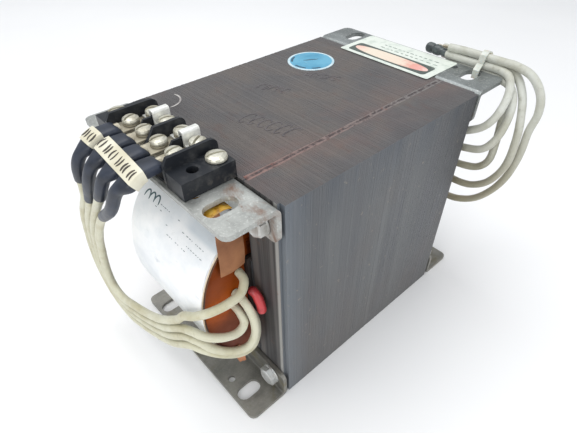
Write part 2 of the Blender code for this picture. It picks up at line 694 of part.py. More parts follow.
def cable_tie():
    """A flat tie through the rear top bracket's right slot, closed round the rear leads."""
    inside = [(y * MM, z * MM) for y, z in TIE_INSIDE]
    middle = Vector((sum(p[0] for p in inside), sum(p[1] for p in inside))) / len(inside)
    outside = []
    for i, point in enumerate(inside):
        edge_in = (Vector(point) - Vector(inside[i - 1])).normalized()
        edge_out = (Vector(inside[(i + 1) % len(inside)]) - Vector(point)).normalized()
        normal = Vector((-(edge_in + edge_out).y, (edge_in + edge_out).x)).normalized()
        if normal.dot(Vector(point) - middle) < 0:
            normal.negate()
        spread = TIE_T / max(0.7, abs(normal.dot(Vector((-edge_in.y, edge_in.x)))))
        outside.append(tuple(Vector(point) + normal * spread))
    finish = material("cable_tie", (0.6, 0.6, 0.55), 0.45)
    add_object("cable_tie", outline_mesh([outside, inside], TIE_W, ALONG_X, (TIE_X, 0, 0)), finish)


start_file()
core()
brackets()
clamp_bolts()
coil()
flap()
terminal_block()
terminals()
block_screws()
leads()
sleeve()
cable_tie()
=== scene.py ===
from math import atan2, ceil, copysign, cos, pi, radians, sin
from random import Random

import bmesh
import bpy
from mathutils import Matrix, Vector, noise


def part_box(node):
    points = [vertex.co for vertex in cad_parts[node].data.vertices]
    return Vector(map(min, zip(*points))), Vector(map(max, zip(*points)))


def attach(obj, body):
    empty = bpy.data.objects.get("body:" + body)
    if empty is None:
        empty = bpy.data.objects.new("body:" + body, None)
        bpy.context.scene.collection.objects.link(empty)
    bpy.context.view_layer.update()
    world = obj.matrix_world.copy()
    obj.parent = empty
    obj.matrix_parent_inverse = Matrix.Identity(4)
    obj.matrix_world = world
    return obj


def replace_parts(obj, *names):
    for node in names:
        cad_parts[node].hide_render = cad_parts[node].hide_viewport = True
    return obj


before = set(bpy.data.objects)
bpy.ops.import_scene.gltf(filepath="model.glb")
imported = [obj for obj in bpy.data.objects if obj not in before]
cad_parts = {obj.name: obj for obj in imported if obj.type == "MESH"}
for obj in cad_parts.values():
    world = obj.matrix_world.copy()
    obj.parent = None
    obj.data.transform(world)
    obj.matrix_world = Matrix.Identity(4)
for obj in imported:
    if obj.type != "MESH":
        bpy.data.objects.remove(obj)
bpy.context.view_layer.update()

MM = 0.001
GAP = 0.3 * MM  # clearance between touching pieces
CORE_LOW, CORE_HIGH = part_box("core_e_stack")
UNIT = (CORE_HIGH.z - CORE_LOW.z) / 6  # half of the laminations' tongue
AXIS_Z = (CORE_LOW.z + CORE_HIGH.z) / 2
FACE_Y = CORE_HIGH.y
JOINT_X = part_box("core_i_stack")[0].x  # between the E and I laminations
WELD_X = JOINT_X - 0.4 * MM
FLANGE_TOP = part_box("rear_top_bracket")[1].z
WRAP_LOW, WRAP_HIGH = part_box("coil_wrap")

# Leads, as part.py routes them; the points of a route are in mm.
LEAD_D = 3.5 * MM
SLEEVE_D = 4.2 * MM  # the loose braid stands off the wire
RIBBON_PITCH = 4.8 * MM
BARREL_D = 4.2 * MM
RIBBON = [
    (-32, -105.5, 104), (-45, -106.5, 86), (-53, -107, 68), (-58, -107.5, 50), (-56.5, -108, 35),
    (-48, -108, 27), (-36, -107.5, 26), (-22, -106.5, 31), (-7, -105, 37), (8, -103, 45),
    (21, -100, 55),
]
TAKE_OFF = [
    [(0, 0, 0), (0, -2.8, -0.5), (-0.4, -6.6, -2.7), (-2, -10.6, -6.6), (-6, -12.3, -14.3)],
    [(0, 0, 0), (0, -2.8, -0.5), (-0.3, -6.6, -2.7), (-2.3, -10.6, -6.6), (-8, -12.3, -15.8)],
    [(0, 0, 0), (0, -2.8, -0.5), (-0.4, -6.6, -2.7), (-2.8, -10.6, -6.6), (-11, -12.3, -18.8)],
    [(0, 0, 0), (0, -2.8, -0.5), (-0.5, -6.6, -2.8), (-4, -10.6, -7), (-14, -12.3, -20.8)],
]
RUN_IN = [
    [(32, -97.5, 50), (37, -90.5, 44.5), (39, -82, 38.5), (39.8, -75, 38), (39.3, -70.8, 44),
     (38.2, -69.6, 53), (36.2, -69.8, 57.6), (31.95, -70, 58.4)],
    [(30, -98.2, 56), (36.6, -93.5, 51.5), (40.6, -86, 46.4), (43, -79, 46), (43.6, -74.8, 52),
     (43, -73.8, 61), (41, -74.4, 69), (37.2, -75.2, 73.8), (31.95, -75.5, 74.6)],
    [(28, -98.8, 62.2), (35.2, -95.6, 62.2), (39.6, -89, 60), (40.8, -82, 58.4), (40, -77.6, 61),
     (36.8, -77, 65.2), (31.95, -77, 66.4)],
    [(24, -99, 70), (32.6, -97.2, 76.6), (38, -91.6, 80), (40.6, -84, 82), (40.4, -77.4, 83.2),
     (37.2, -73, 85.6), (31.95, -72, 86.2)],
]
REAR_LEADS = [
    [(31.95, 73, 101), (40, 72.6, 102.5), (50, 72.4, 108), (59, 73.5, 113.5), (62.5, 78, 120),
     (62, 85, 128), (58, 90.2, 134.6), (51, 92.2, 136.4), (40.7, 92.2, 136.2), (28, 92.4, 136),
     (15, 93.4, 136)],
    [(31.95, 76, 95.5), (42, 75, 96), (53, 74, 98), (62, 74.5, 101), (66, 78, 107), (66.5, 83.5, 116),
     (64, 88.5, 125), (58.5, 91.8, 130.3), (50, 92.4, 132), (40.7, 92.4, 132.2), (30, 92.5, 132),
     (22, 92.8, 131.4)],
    [(31.95, 80, 82), (42, 80.5, 82), (52, 81.3, 82.6), (60, 82, 85), (64.6, 82.6, 91.5), (64.5, 84, 102),
     (62.4, 87.4, 113), (60.4, 92.4, 122.6), (56.4, 96, 129.6), (50, 96.5, 132.8), (40.7, 96.2, 133.2),
     (28, 96.4, 133), (17, 96.9, 132.4)],
    [(31.95, 84, 70), (42, 82.8, 69.6), (52, 82, 70), (61, 82, 72.5), (69, 82.5, 79.5), (74, 84, 92),
     (73.5, 86.5, 106), (70.5, 89.5, 118), (66, 93, 127.5), (59, 95.8, 134.5), (50, 96.1, 137.2),
     (40.7, 96.1, 137.3), (28, 96.6, 137.4), (13, 97.4, 137.2)],
    [(31.95, 86, 54), (42, 86.6, 53), (52, 87.5, 54), (62, 88.5, 59.5), (70, 89.5, 70), (75, 90, 83),
     (76.8, 90.5, 98), (76.3, 91.5, 111), (77, 93, 121), (74, 94.5, 130), (67, 95, 137), (58, 94, 140),
     (50, 93.3, 140.3), (40.7, 93.2, 140.3), (28, 93, 140.2), (19, 92.6, 139.8)],
]


# --- materials

def shade(value):
    """A colour written as 0-255 sRGB, in the linear form that shaders use. Sockets pass through."""
    if not isinstance(value, tuple):
        return value
    linear = []
    for part in value:
        share = part / 255
        linear.append(share / 12.92 if share <= 0.04045 else ((share + 0.055) / 1.055) ** 2.4)
    return (*linear, 1.0)


class Look:
    """A procedural material: one Principled shader fed by short chains of nodes in object space.

    Colours are written as (red, green, blue), 0-255 sRGB.
    """

    def __init__(self, name, roughness=0.5, metallic=0.0, **uniform):
        self.material = bpy.data.materials.new(name)
        self.material.use_nodes = True
        self.tree = self.material.node_tree
        self.shader = self.tree.nodes["Principled BSDF"]
        self.shader.inputs["Roughness"].default_value = roughness
        self.shader.inputs["Metallic"].default_value = metallic
        for socket, value in uniform.items():
            self.shader.inputs[socket.replace("_", " ")].default_value = value
        self.base = None
        self.normal = None

    def feed(self, socket, value):
        if isinstance(value, bpy.types.NodeSocket):
            self.tree.links.new(value, socket)
        else:
            socket.default_value = value

    def node(self, kind, outlet=0, **inputs):
        """Adds a node; inputs are named by socket, with sockets linked and plain values set."""
        made = self.tree.nodes.new(kind)
        for name, value in inputs.items():
            self.feed(made.inputs[name.replace("_", " ")], value)
        return made.outputs[outlet]

    def place(self, scale=(1, 1, 1), source="Object"):
        coordinates = self.node("ShaderNodeTexCoord", source)
        return self.node("ShaderNodeMapping", Vector=coordinates, Scale=scale)

    def axis(self, name, source="Object"):
        return self.node("ShaderNodeSeparateXYZ", name, Vector=self.place(source=source))

    def noise(self, scale, detail=4.0, roughness=0.55, distortion=0.0):
        """Noise of the given frequencies, per metre along each axis."""
        scales = scale if isinstance(scale, tuple) else (scale, scale, scale)
        return self.node(
            "ShaderNodeTexNoise", Vector=self.place(scales), Scale=1.0, Detail=detail,
            Roughness=roughness, Distortion=distortion,
        )

    def level(self, value, low, high, to_low=0.0, to_high=1.0):
        """Stretches low..high to to_low..to_high and clamps it."""
        return self.node(
            "ShaderNodeMapRange", Value=value, From_Min=low, From_Max=high, To_Min=to_low, To_Max=to_high,
        )

    def patches(self, low, high, *grain):
        """Soft patches: 0 where noise of that grain is at low and 1 where it is at high."""
        return self.level(self.noise(*grain), low, high)

    def ramp(self, value, *stops):
        made = self.tree.nodes.new("ShaderNodeValToRGB")
        elements = made.color_ramp.elements
        while len(elements) < len(stops):
            elements.new(0.5)
        for element, (position, colour) in zip(elements, stops):
            element.position = position
            element.color = shade(colour)
        self.feed(made.inputs[0], value)
        return made.outputs[0]

    def math(self, operation, first, second=0.0):
        made = self.tree.nodes.new("ShaderNodeMath")
        made.operation = operation
        self.feed(made.inputs[0], first)
        self.feed(made.inputs[1], second)
        return made.outputs[0]

    def times(self, first, second):
        return self.math("MULTIPLY", first, second)

    def band(self, value, middle, half, soft):
        """1 near a value and 0 away from it."""
        away = self.math("ABSOLUTE", self.math("SUBTRACT", value, middle))
        return self.level(away, half, half + soft, 1.0, 0.0)

    def twill(self, pitch, lean="ADD"):
        """Waves that run diagonally round a tube, on the tube's own map."""
        slant = self.math(lean, self.axis("X", "UV"), self.axis("Y", "UV"))
        return self.math("SINE", self.times(slant, 2 * pi / pitch))

    def colour(self, value):
        self.base = shade(value)
        self.feed(self.shader.inputs["Base Color"], self.base)
        return self

    def colours(self, value, *stops):
        """Colours the material by a value, through stops of (position, colour)."""
        return self.colour(self.ramp(value, *stops))

    def stain(self, where, colour, amount=None):
        """Lays a colour over the present one where the mask says, thinned by amount."""
        made = self.tree.nodes.new("ShaderNodeMix")
        made.data_type = "RGBA"
        self.feed(made.inputs[0], where if amount is None else self.times(where, amount))
        self.feed(made.inputs[6], self.base)
        self.feed(made.inputs[7], shade(colour))
        return self.colour(made.outputs[2])

    def rough(self, value):
        self.feed(self.shader.inputs["Roughness"], value)
        return self

    def bump(self, height, distance, strength=1.0):
        made = self.tree.nodes.new("ShaderNodeBump")
        self.feed(made.inputs["Height"], height)
        made.inputs["Distance"].default_value = distance
        made.inputs["Strength"].default_value = strength
        if self.normal:
            self.tree.links.new(self.normal, made.inputs["Normal"])
        self.normal = made.outputs[0]
        self.feed(self.shader.inputs["Normal"], self.normal)
        return self

    def grain(self, scale, detail, depth, strength):
        """Fine relief from noise, its depth in mm."""
        return self.bump(self.noise(scale, detail), depth * MM, strength)


SHEET_PITCH = 0.5 * MM
PER_SHEET = 0.9 / SHEET_PITCH


def lamination_top():
    """Cut edges of the laminations, brown-grey and rusting, with the sheets running across the stack."""
    look = Look("lamination_top", roughness=0.55, metallic=0.12)
    broad = look.noise(26, 6, 0.6, 0.4)
    look.colours(broad, (0.3, (82, 79, 79)), (0.48, (93, 91, 91)), (0.62, (103, 97, 93)),
                 (0.78, (87, 82, 83)))
    lines = look.noise((22, PER_SHEET, 22), 2, 0.6)
    look.stain(look.level(lines, 0.35, 0.65, 0.0, 0.26), (62, 60, 62))
    look.stain(look.patches(0.56, 0.7, (60, 130, 60), 5, 0.65), (98, 72, 64), 0.32)
    seam = look.band(look.axis("X"), 1.46 * UNIT, 4 * MM, 16 * MM)
    seam = look.times(seam, look.patches(0.35, 0.7, (90, 40, 90), 4))
    look.stain(seam, (122, 94, 87), 0.4)
    look.stain(look.patches(0.52, 0.66, 9, 3), (78, 76, 84), 0.3)
    look.rough(look.level(broad, 0.3, 0.7, 0.42, 0.66))
    return look.bump(lines, 0.12 * MM, 0.6).grain(700, 3, 0.08, 0.5).material


def lamination_side():
    """The same edges on the sides: blue-grey mill scale with dark and light upright streaks, with painted
    light towards the bottom and the front edge and painted shade towards the rear.
    """
    look = Look("lamination_side", roughness=0.48, metallic=0.25)
    depth, height = look.axis("Y"), look.axis("Z")
    streak = look.noise((30, 150, 6), 4, 0.5, 0.2)
    look.colours(streak, (0.3, (89, 91, 95)), (0.5, (98, 100, 102)), (0.7, (108, 110, 111)))
    look.stain(look.level(look.noise((18, 18, 12), 4, 0.6), 0.5, 0.72, 0.0, 0.6), (102, 96, 93))
    # Painted light: lighter towards the bottom.
    look.stain(look.level(height, 0.0, 60 * MM, 0.3, 0.0), (110, 104, 99))
    upper = look.level(height, 105 * MM, 131 * MM, 0.0, 0.5)
    look.stain(look.times(upper, look.level(streak, 0.4, 0.6)), (72, 79, 90))
    # Painted shade: darker towards the rear, most at mid height.
    rear = look.level(depth, 20 * MM, FACE_Y, 0.0, 0.68)
    look.stain(look.times(rear, look.level(height, 40 * MM, 100 * MM, 0.3, 1.0)), (56, 57, 61))
    # Painted reflection: lighter and bluer towards the front edge.
    look.stain(look.level(depth, -FACE_Y, -FACE_Y + 16 * MM, 0.55, 0.0), (118, 126, 134))
    look.stain(look.patches(0.68, 0.74, 420, 2), (150, 140, 128), 0.5)
    look.rough(look.level(streak, 0.3, 0.7, 0.36, 0.55))
    return look.bump(look.noise((22, PER_SHEET, 22), 2, 0.6), 0.12 * MM, 0.5).material


def lamination_face():
    """The flat of the outermost sheets: oxide-coated steel with a painted highlight along its edge."""
    look = Look("lamination_face", roughness=0.5, metallic=0.2, Specular_IOR_Level=0.3)
    broad = look.noise((30, 30, 14), 5, 0.6)
    look.colours(broad, (0.3, (66, 68, 70)), (0.55, (84, 84, 84)), (0.75, (100, 96, 92)))
    streak = look.noise((420, 420, 5), 3, 0.5)
    look.stain(look.level(streak, 0.42, 0.66, 0.0, 0.6), (118, 114, 110))
    look.stain(look.level(streak, 0.44, 0.34, 0.0, 0.6), (52, 50, 50))
    # Painted highlight: a pale band along the edge of the trimmed outer sheets.
    look.stain(look.band(look.axis("X"), 2.33 * UNIT, 0.6 * MM, 0.8 * MM), (176, 176, 172), 0.7)
    look.stain(look.patches(0.6, 0.72, 110, 5, 0.7), (112, 80, 64), 0.5)
    look.rough(look.level(broad, 0.3, 0.7, 0.42, 0.6))
    return look.grain(900, 3, 0.05, 0.4).material


def weld_look():
    """Weld metal, pinkish with rust to the front and greyer to the rear, dark in its pits."""
    look = Look("weld_metal", roughness=0.6, metallic=0.25)
    rear = look.level(look.axis("Y"), -FACE_Y, 0.6 * FACE_Y)
    look.colour((130, 104, 98)).stain(rear, (122, 118, 116))
    look.stain(look.patches(0.5, 0.66, (900, 420, 900), 4, 0.7), (66, 56, 56), 0.75)
    middle = look.band(look.axis("X"), WELD_X, 0.55 * MM, 0.35 * MM)
    pits = look.times(middle, look.patches(0.4, 0.52, (300, 260, 300), 3, 0.6))
    look.stain(pits, (58, 48, 50), 0.85)
    look.stain(look.patches(0.56, 0.66, 150, 5, 0.7), (124, 74, 62), 0.5)
    return look.bump(look.noise(1600, 4, 0.7), 0.1 * MM, 0.6).material


def zinc_plate(name, clean, dull, stain, stained, specks=0.4):
    """Zinc-plated steel sheet: mottled, scratched, with stains that gather at edges and holes."""
    look = Look(name, roughness=0.42, metallic=0.5)
    broad = look.noise(70, 6, 0.62)
    look.colours(broad, (0.32, dull), (0.6, clean))
    fine = look.noise((900, 240, 900), 3, 0.6)
    look.stain(look.level(fine, 0.5, 0.7, 0.0, 0.35), dull)
    look.stain(look.patches(0.56, 0.7, 1100, 2, 0.5), (214, 216, 212), specks)
    look.stain(look.patches(0.36, 0.26, 760, 3, 0.6), stain, 0.5)
    patch = look.patches(stained, stained + 0.12, 38, 6, 0.7, 0.6)
    look.stain(patch, stain)
    look.feed(look.shader.inputs["Metallic"], look.level(patch, 0.0, 1.0, 0.6, 0.1))
    look.rough(look.level(broad, 0.3, 0.7, 0.34, 0.55))
    look.bump(fine, 0.05 * MM, 0.5)
    return look.bump(look.times(patch, look.noise(1200)), 0.1 * MM, 0.5).material


def plated_metal(name, bright, tarnish, roughness, metallic=0.75):
    """Nickel or tin plate on small pieces, tarnished in the hollows."""
    look = Look(name, roughness=roughness, metallic=metallic)
    cloud = look.noise(190, 3, 0.5)
    look.colours(cloud, (0.28, tarnish), (0.62, bright))
    look.rough(look.level(cloud, 0.3, 0.7, roughness + 0.12, roughness - 0.04))
    return look.grain((2600, 700, 2600), 2, 0.006, 0.5).material


def phenolic():
    """Black moulded phenolic: glossy, with dust in patches, paler and warmer towards its base, and fine
    handling scratches.
    """
    look = Look("black_phenolic", roughness=0.4, Specular_IOR_Level=0.32)
    dust = look.patches(0.5, 0.72, 160, 5, 0.7)
    look.colour((30, 33, 38)).stain(dust, (92, 92, 90), 0.35)
    # Paler and warmer in patches towards the base.
    low = look.level(look.axis("Z"), FLANGE_TOP, FLANGE_TOP + 5 * MM, 0.55, 0.0)
    look.stain(look.times(low, dust), (120, 112, 100))
    look.rough(look.level(dust, 0.0, 1.0, 0.36, 0.6))
    return look.grain(1500, 2, 0.02, 0.3).grain((300, 2600, 900), 2, 0.02, 0.3).material


def braid(name, light, dark, dirt, lower_colour=None):
    """Woven fibreglass sleeving on a wire: a fine crossed weave along the tube's own map, with grime.

    The last argument, when given, is the darker colour that the sleeving turns to lower down.
    """
    look = Look(name, roughness=0.5, Sheen_Weight=0.15)
    pitch = 0.62 * MM
    weave = look.level(look.math("ADD", look.twill(pitch), look.twill(pitch, "SUBTRACT")), -2.0, 2.0)
    look.colours(look.noise(55, 5, 0.65), (0.34, dark), (0.56, light))
    if lower_colour:
        look.stain(look.level(look.axis("Z"), 75 * MM, 125 * MM, 0.75, 0.0), lower_colour)
    look.stain(look.patches(0.58, 0.74, 240, 4, 0.7), dirt, 0.45)
    look.stain(look.level(weave, 0.0, 0.35, 0.18, 0.0), dirt)
    return look.bump(weave, 0.06 * MM, 0.5).grain(320, 3, 0.25, 0.4).material


def red_cloth():
    """Red varnished sleeving, woven, with a thin gloss."""
    look = Look("red_sleeving", roughness=0.4, Coat_Weight=0.2)
    look.colours(look.noise(150, 4, 0.6), (0.34, (124, 28, 38)), (0.6, (190, 58, 62)))
    return look.bump(look.twill(0.8 * MM), 0.05 * MM, 0.5).material


def heat_shrink():
    look = Look("heat_shrink", roughness=0.4, Specular_IOR_Level=0.45)
    cloud = look.noise(130, 4, 0.6)
    look.colours(cloud, (0.35, (27, 32, 42)), (0.65, (45, 52, 66)))
    look.rough(look.level(cloud, 0.3, 0.7, 0.34, 0.52))
    return look.grain(600, 3, 0.1, 0.4).material


def dark_vinyl():
    look = Look("dark_vinyl", roughness=0.35)
    look.colours(look.noise(300, 4), (0.35, (44, 50, 52)), (0.65, (82, 90, 90)))
    return look.grain(900, 2, 0.04, 0.4).material


def amber_film():
    """Varnished film over the coil's ends: glossy orange above, browner and redder below."""
    look = Look("amber_film", roughness=0.34, Specular_IOR_Level=0.16)
    height = look.level(look.axis("Z"), 30 * MM, 95 * MM)
    look.colours(height, (0.1, (132, 80, 66)), (0.35, (143, 83, 62)), (0.62, (172, 80, 10)),
                 (0.9, (124, 54, 10)))
    look.stain(look.level(look.noise((90, 60, 60), 5, 0.6, 0.5), 0.45, 0.7, 0.0, 0.55), (96, 46, 22))
    return look.grain(260, 3, 0.25, 0.5).material


def amber_tail():
    """Golden film with a glossy coat."""
    look = Look("amber_tail", roughness=0.22, Coat_Weight=0.4, Coat_Roughness=0.15)
    look.colours(look.noise(220, 4, 0.6), (0.35, (126, 84, 26)), (0.5, (188, 142, 42)),
                 (0.68, (206, 172, 84)))
    return look.grain(500, 2, 0.1, 0.4).material


def copper():
    look = Look("enamelled_copper", roughness=0.3, metallic=0.6, Coat_Weight=0.3)
    look.colours(look.noise(240, 3), (0.35, (112, 48, 22)), (0.65, (164, 84, 40)))
    return look.grain((2600, 60, 60), 1, 0.1, 0.6).material


def board(name, light, dark, roughness=0.75):
    """Pressed paper or board, with fibres and a slight wave."""
    look = Look(name, roughness=roughness)
    fibres = look.noise((700, 180, 180), 4, 0.7)
    look.colours(look.noise(60, 4), (0.35, dark), (0.62, light))
    look.stain(look.level(fibres, 0.45, 0.75, 0.0, 0.4), dark)
    return look.bump(fibres, 0.08 * MM, 0.6).material


def wrap_paper():
    """White label stock round the coil, slightly grey in broad patches, with blotches of painted blue-grey
    shade.
    """
    look = Look("white_wrap", roughness=0.42, Specular_IOR_Level=0.5)
    look.colours(look.noise(40, 5, 0.6), (0.35, (226, 230, 234)), (0.6, (247, 248, 248)))
    # Painted shade: blue-grey blotches.
    look.stain(look.patches(0.62, 0.72, (120, 60, 120), 5, 0.7), (176, 184, 192), 0.4)
    return look.grain(500, 3, 0.04, 0.4).material


def label_stock():
    """Glossy white label stock with a faint blue-grey painted shadow of the flange to the upper right."""
    look = Look("label_stock", roughness=0.35, Specular_IOR_Level=0.5)
    look.colours(look.noise(60, 4, 0.6), (0.35, (232, 236, 238)), (0.6, (248, 249, 249)))
    # Painted shadow of the flange: blue-grey towards the upper right.
    across = look.level(look.axis("X"), 4 * MM, 12 * MM)
    upper = look.level(look.axis("Z"), 102.5 * MM, 104 * MM)
    look.stain(look.times(across, upper), (186, 200, 210), 0.5)
    look.stain(look.patches(0.6, 0.74, 260, 5, 0.7), (190, 194, 190), 0.35)
    return look.grain(700, 2, 0.02, 0.3).material


def faded_oval(middle, half):
    """Faded red ink, nearly bleached to beige away from its right end."""
    look = Look("faded_red", roughness=0.4)
    along = look.level(look.axis("X"), middle - half, middle + half)
    mottle = look.times(look.math("SUBTRACT", look.noise(160, 4), 0.5), 0.5)
    look.colours(look.math("ADD", along, mottle), (0.02, (224, 188, 174)), (0.22, (222, 210, 192)),
                 (0.66, (222, 204, 186)), (0.8, (216, 154, 140)), (0.92, (220, 160, 150)),
                 (1.0, (224, 190, 180)))
    return look.grain(900, 2, 0.02, 0.3).material


def sky_blue():
    look = Look("sky_blue", roughness=0.38)
    look.colours(look.noise(90, 4, 0.6), (0.35, (66, 140, 172)), (0.62, (94, 162, 190)))
    look.stain(look.patches(0.6, 0.72, 420, 4, 0.7), (150, 190, 200), 0.4)
    return look.grain(900, 2, 0.02, 0.3).material


def printed(name, colour, fade, worn=0.6):
    """A printed area on a label, fading in patches."""
    look = Look(name, roughness=0.35)
    look.colour(colour).stain(look.patches(worn, worn + 0.15, 180, 5, 0.65), fade)
    return look.grain(900, 2, 0.02, 0.3).material


def nylon(name, light, dark):
    look = Look(name, roughness=0.4, Subsurface_Weight=0.1)
    look.colours(look.noise(200, 3), (0.35, dark), (0.65, light))
    return look.grain(1200, 2, 0.03, 0.4).material


def pale_floor():
    look = Look("pale_floor", roughness=0.7)
    look.colours(look.noise(3, 3), (0.4, (233.65, 233.65, 233.65)), (0.6, (236.15, 236.15, 236.15)))
    return look.material


# --- mesh tools

def added(name, data):
    """A new object in the scene."""
    made = bpy.data.objects.new(name, data)
    bpy.context.scene.collection.objects.link(made)
    return made


def piece(name, shape, looks, angle=35):
    """A bmesh as a finished piece that rides on the root body."""
    mesh = bpy.data.meshes.new(name)
    shape.to_mesh(mesh)
    shape.free()
    for look in looks if isinstance(looks, (list, tuple)) else [looks]:
        mesh.materials.append(look)
    mesh.shade_smooth()
    mesh.set_sharp_from_angle(angle=radians(angle))
    made = added(name, mesh)
    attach(made, "root")
    return made


def dress(look, *nodes):
    """Gives CAD nodes their finished material."""
    for node in nodes:
        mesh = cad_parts[node].data
        mesh.materials.clear()
        mesh.materials.append(look)


def smooth_line(route, step):
    """Evenly spaced points of a Catmull-Rom curve through the route."""
    marks = [Vector(p) for p in route]
    marks = [2 * marks[0] - marks[1], *marks, 2 * marks[-1] - marks[-2]]
    fine = []
    for a, b, c, d in zip(marks, marks[1:], marks[2:], marks[3:]):
        for k in range(12):
            t = k / 12
            fine.append(0.5 * (2 * b + (c - a) * t + (2 * a - 5 * b + 4 * c - d) * t ** 2
                               + (3 * b - a - 3 * c + d) * t ** 3))
    fine.append(marks[-2])
    total = length_of(fine)
    count = max(4, ceil(total / step))
    line, target, gone = [fine[0]], total / count, 0.0
    for p, q in zip(fine, fine[1:]):
        span = (q - p).length
        while gone + span >= target and len(line) < count:
            line.append(p.lerp(q, (target - gone) / span))
            target += total / count
        gone += span
    line.append(fine[-1])
    return line


def length_of(line):
    return sum((q - p).length for p, q in zip(line, line[1:]))


def heading(line, i):
    """The direction of a line at its point i."""
    return (line[min(i + 1, len(line) - 1)] - line[max(i - 1, 0)]).normalized()


def clamp(value):
    return min(1.0, max(0.0, value))


def rings_along(line, start_up=(0, 0, 1)):
    """(point, side, up) at each point of a line, turned as little as the line allows."""
    up = Vector(start_up)
    frames = []
    for i, point in enumerate(line):
        ahead = heading(line, i)
        side = ahead.cross(up).normalized()
        up = side.cross(ahead)
        frames.append((point, side, up))
    return frames


def skinned(loops, sides=None, ends=0):
    """A closed tube over equal loops of points, mapped in metres: u along it and v round it.

    sides gives each side's material, and ends that of the two end faces.
    """
    shape = bmesh.new()
    mapped = shape.loops.layers.uv.new("map")
    rings = [[shape.verts.new(point) for point in loop] for loop in loops]
    count = len(loops[0])
    around = sum((Vector(loops[0][i]) - Vector(loops[0][i - 1])).length for i in range(count))
    along = 0.0
    for i in range(len(rings) - 1):
        step = (Vector(loops[i + 1][0]) - Vector(loops[i][0])).length
        for j in range(count):
            k = (j + 1) % count
            face = shape.faces.new((rings[i][j], rings[i][k], rings[i + 1][k], rings[i + 1][j]))
            face.material_index = sides[j] if sides else 0
            places = ((along, j), (along, j + 1), (along + step, j + 1), (along + step, j))
            for corner, (u, v) in zip(face.loops, places):
                corner[mapped].uv = (u, v * around / count)
        along += step
    for cap in (rings[0][::-1], rings[-1]):
        shape.faces.new(cap).material_index = ends
    bmesh.ops.recalc_face_normals(shape, faces=shape.faces)
    return shape


def sheet(rows):
    """A closed sheet through rows of (front, back) points."""
    return skinned([[front for front, back in row] + [back for front, back in row[::-1]] for row in rows])


def swept(line, section, start_up=(0, 0, 1)):
    """Loops along a line; section(share) gives the outline's (side, up) points there."""
    loops = []
    frames = rings_along(line, start_up)
    for i, (point, side, up) in enumerate(frames):
        share = i / (len(frames) - 1)
        loops.append([point + side * a + up * b for a, b in section(share)])
    return loops


def oval(width, height, sides=12, power=2.0):
    """Points of an ellipse; a higher power makes it squarer."""
    points = []
    for k in range(sides):
        a = 2 * pi * k / sides
        u, v = cos(a), sin(a)
        points.append((width / 2 * copysign(abs(u) ** (2 / power), u),
                       height / 2 * copysign(abs(v) ** (2 / power), v)))
    return points


def prism(outline, low, high):
    """A flat outline (x, y), given thickness along z, with a slightly softened upper edge."""
    middle = sum((Vector((*p, 0)) for p in outline), Vector()) / len(outline)
    lip = 0.3 * (high - low)
    loops = [[(x, y, low) for x, y in outline], [(x, y, high - lip) for x, y in outline]]
    top = []
    for x, y in outline:
        inward = (middle - Vector((x, y, 0))).normalized() * lip
        top.append((x + inward.x, y + inward.y, high))
    return skinned([*loops, top])


def rounded_box(x0, x1, y0, y1, radius, steps=6):
    """Outline of a rectangle with round corners."""
    points = []
    corners = ((x1, y1, 0), (x0, y1, 90), (x0, y0, 180), (x1, y0, 270))
    for x, y, first in corners:
        cx = x - copysign(radius, x - (x0 + x1) / 2)
        cy = y - copysign(radius, y - (y0 + y1) / 2)
        for k in range(steps + 1):
            a = radians(first + 90 * k / steps)
            points.append((cx + radius * cos(a), cy + radius * sin(a)))
    return points


def disc(x, y, radius, steps=48):
    return [(x + a, y + b) for a, b in oval(2 * radius, 2 * radius, steps)]


def stroke(line, width, thick, up=(0, 0, 1)):
    """A flat raised stroke along a line, tapered at both ends."""
    def section(share):
        w = width * min(1.0, 0.35 + 6 * min(share, 1 - share))
        return [(-w / 2, 0), (w / 2, 0), (w / 2, thick), (-w / 2, thick)]
    return skinned(swept([Vector(p) for p in line], section, up))


def lumps(point, size, seed=0.0):
    """Smooth random height from -1 to 1 at a point, with bumps of about that size."""
    return noise.noise(Vector(point) / size + Vector((seed, 1.7 * seed, 2.3 * seed)))


def merged(*shapes):
    """Several bmeshes as one."""
    whole = bmesh.new()
    for shape in shapes:
        mesh = bpy.data.meshes.new("part")
        shape.to_mesh(mesh)
        shape.free()
        whole.from_mesh(mesh)
        bpy.data.meshes.remove(mesh)
    return whole


# --- camera, light, floor

TURN, TILT_DOWN, ROLL = 48.24, 43.35, -0.69  # of the camera, in degrees


def camera():
    data = bpy.data.cameras.new("camera")
    data.lens = 27.25
    data.shift_x = -0.0049
    data.shift_y = 0.0354
    data.clip_start = 10 * MM
    made = added("camera", data)
    place = (0.1462, -0.1420, 0.2316)
    made.matrix_world = Matrix.Translation(place)
    for axis, degrees in (("Z", TURN), ("X", 90 - TILT_DOWN), ("Z", ROLL)):
        made.matrix_world = made.matrix_world @ Matrix.Rotation(radians(degrees), 4, axis)
    bpy.context.scene.camera = made


def soft_light(name, place, aim, size, watts):
    data = bpy.data.lights.new(name, "AREA")
    data.shape = "DISK"
    data.size = size
    data.energy = watts
    made = added(name, data)
    made.location = place
    made.rotation_euler = (Vector(aim) - Vector(place)).to_track_quat("-Z", "Y").to_euler()


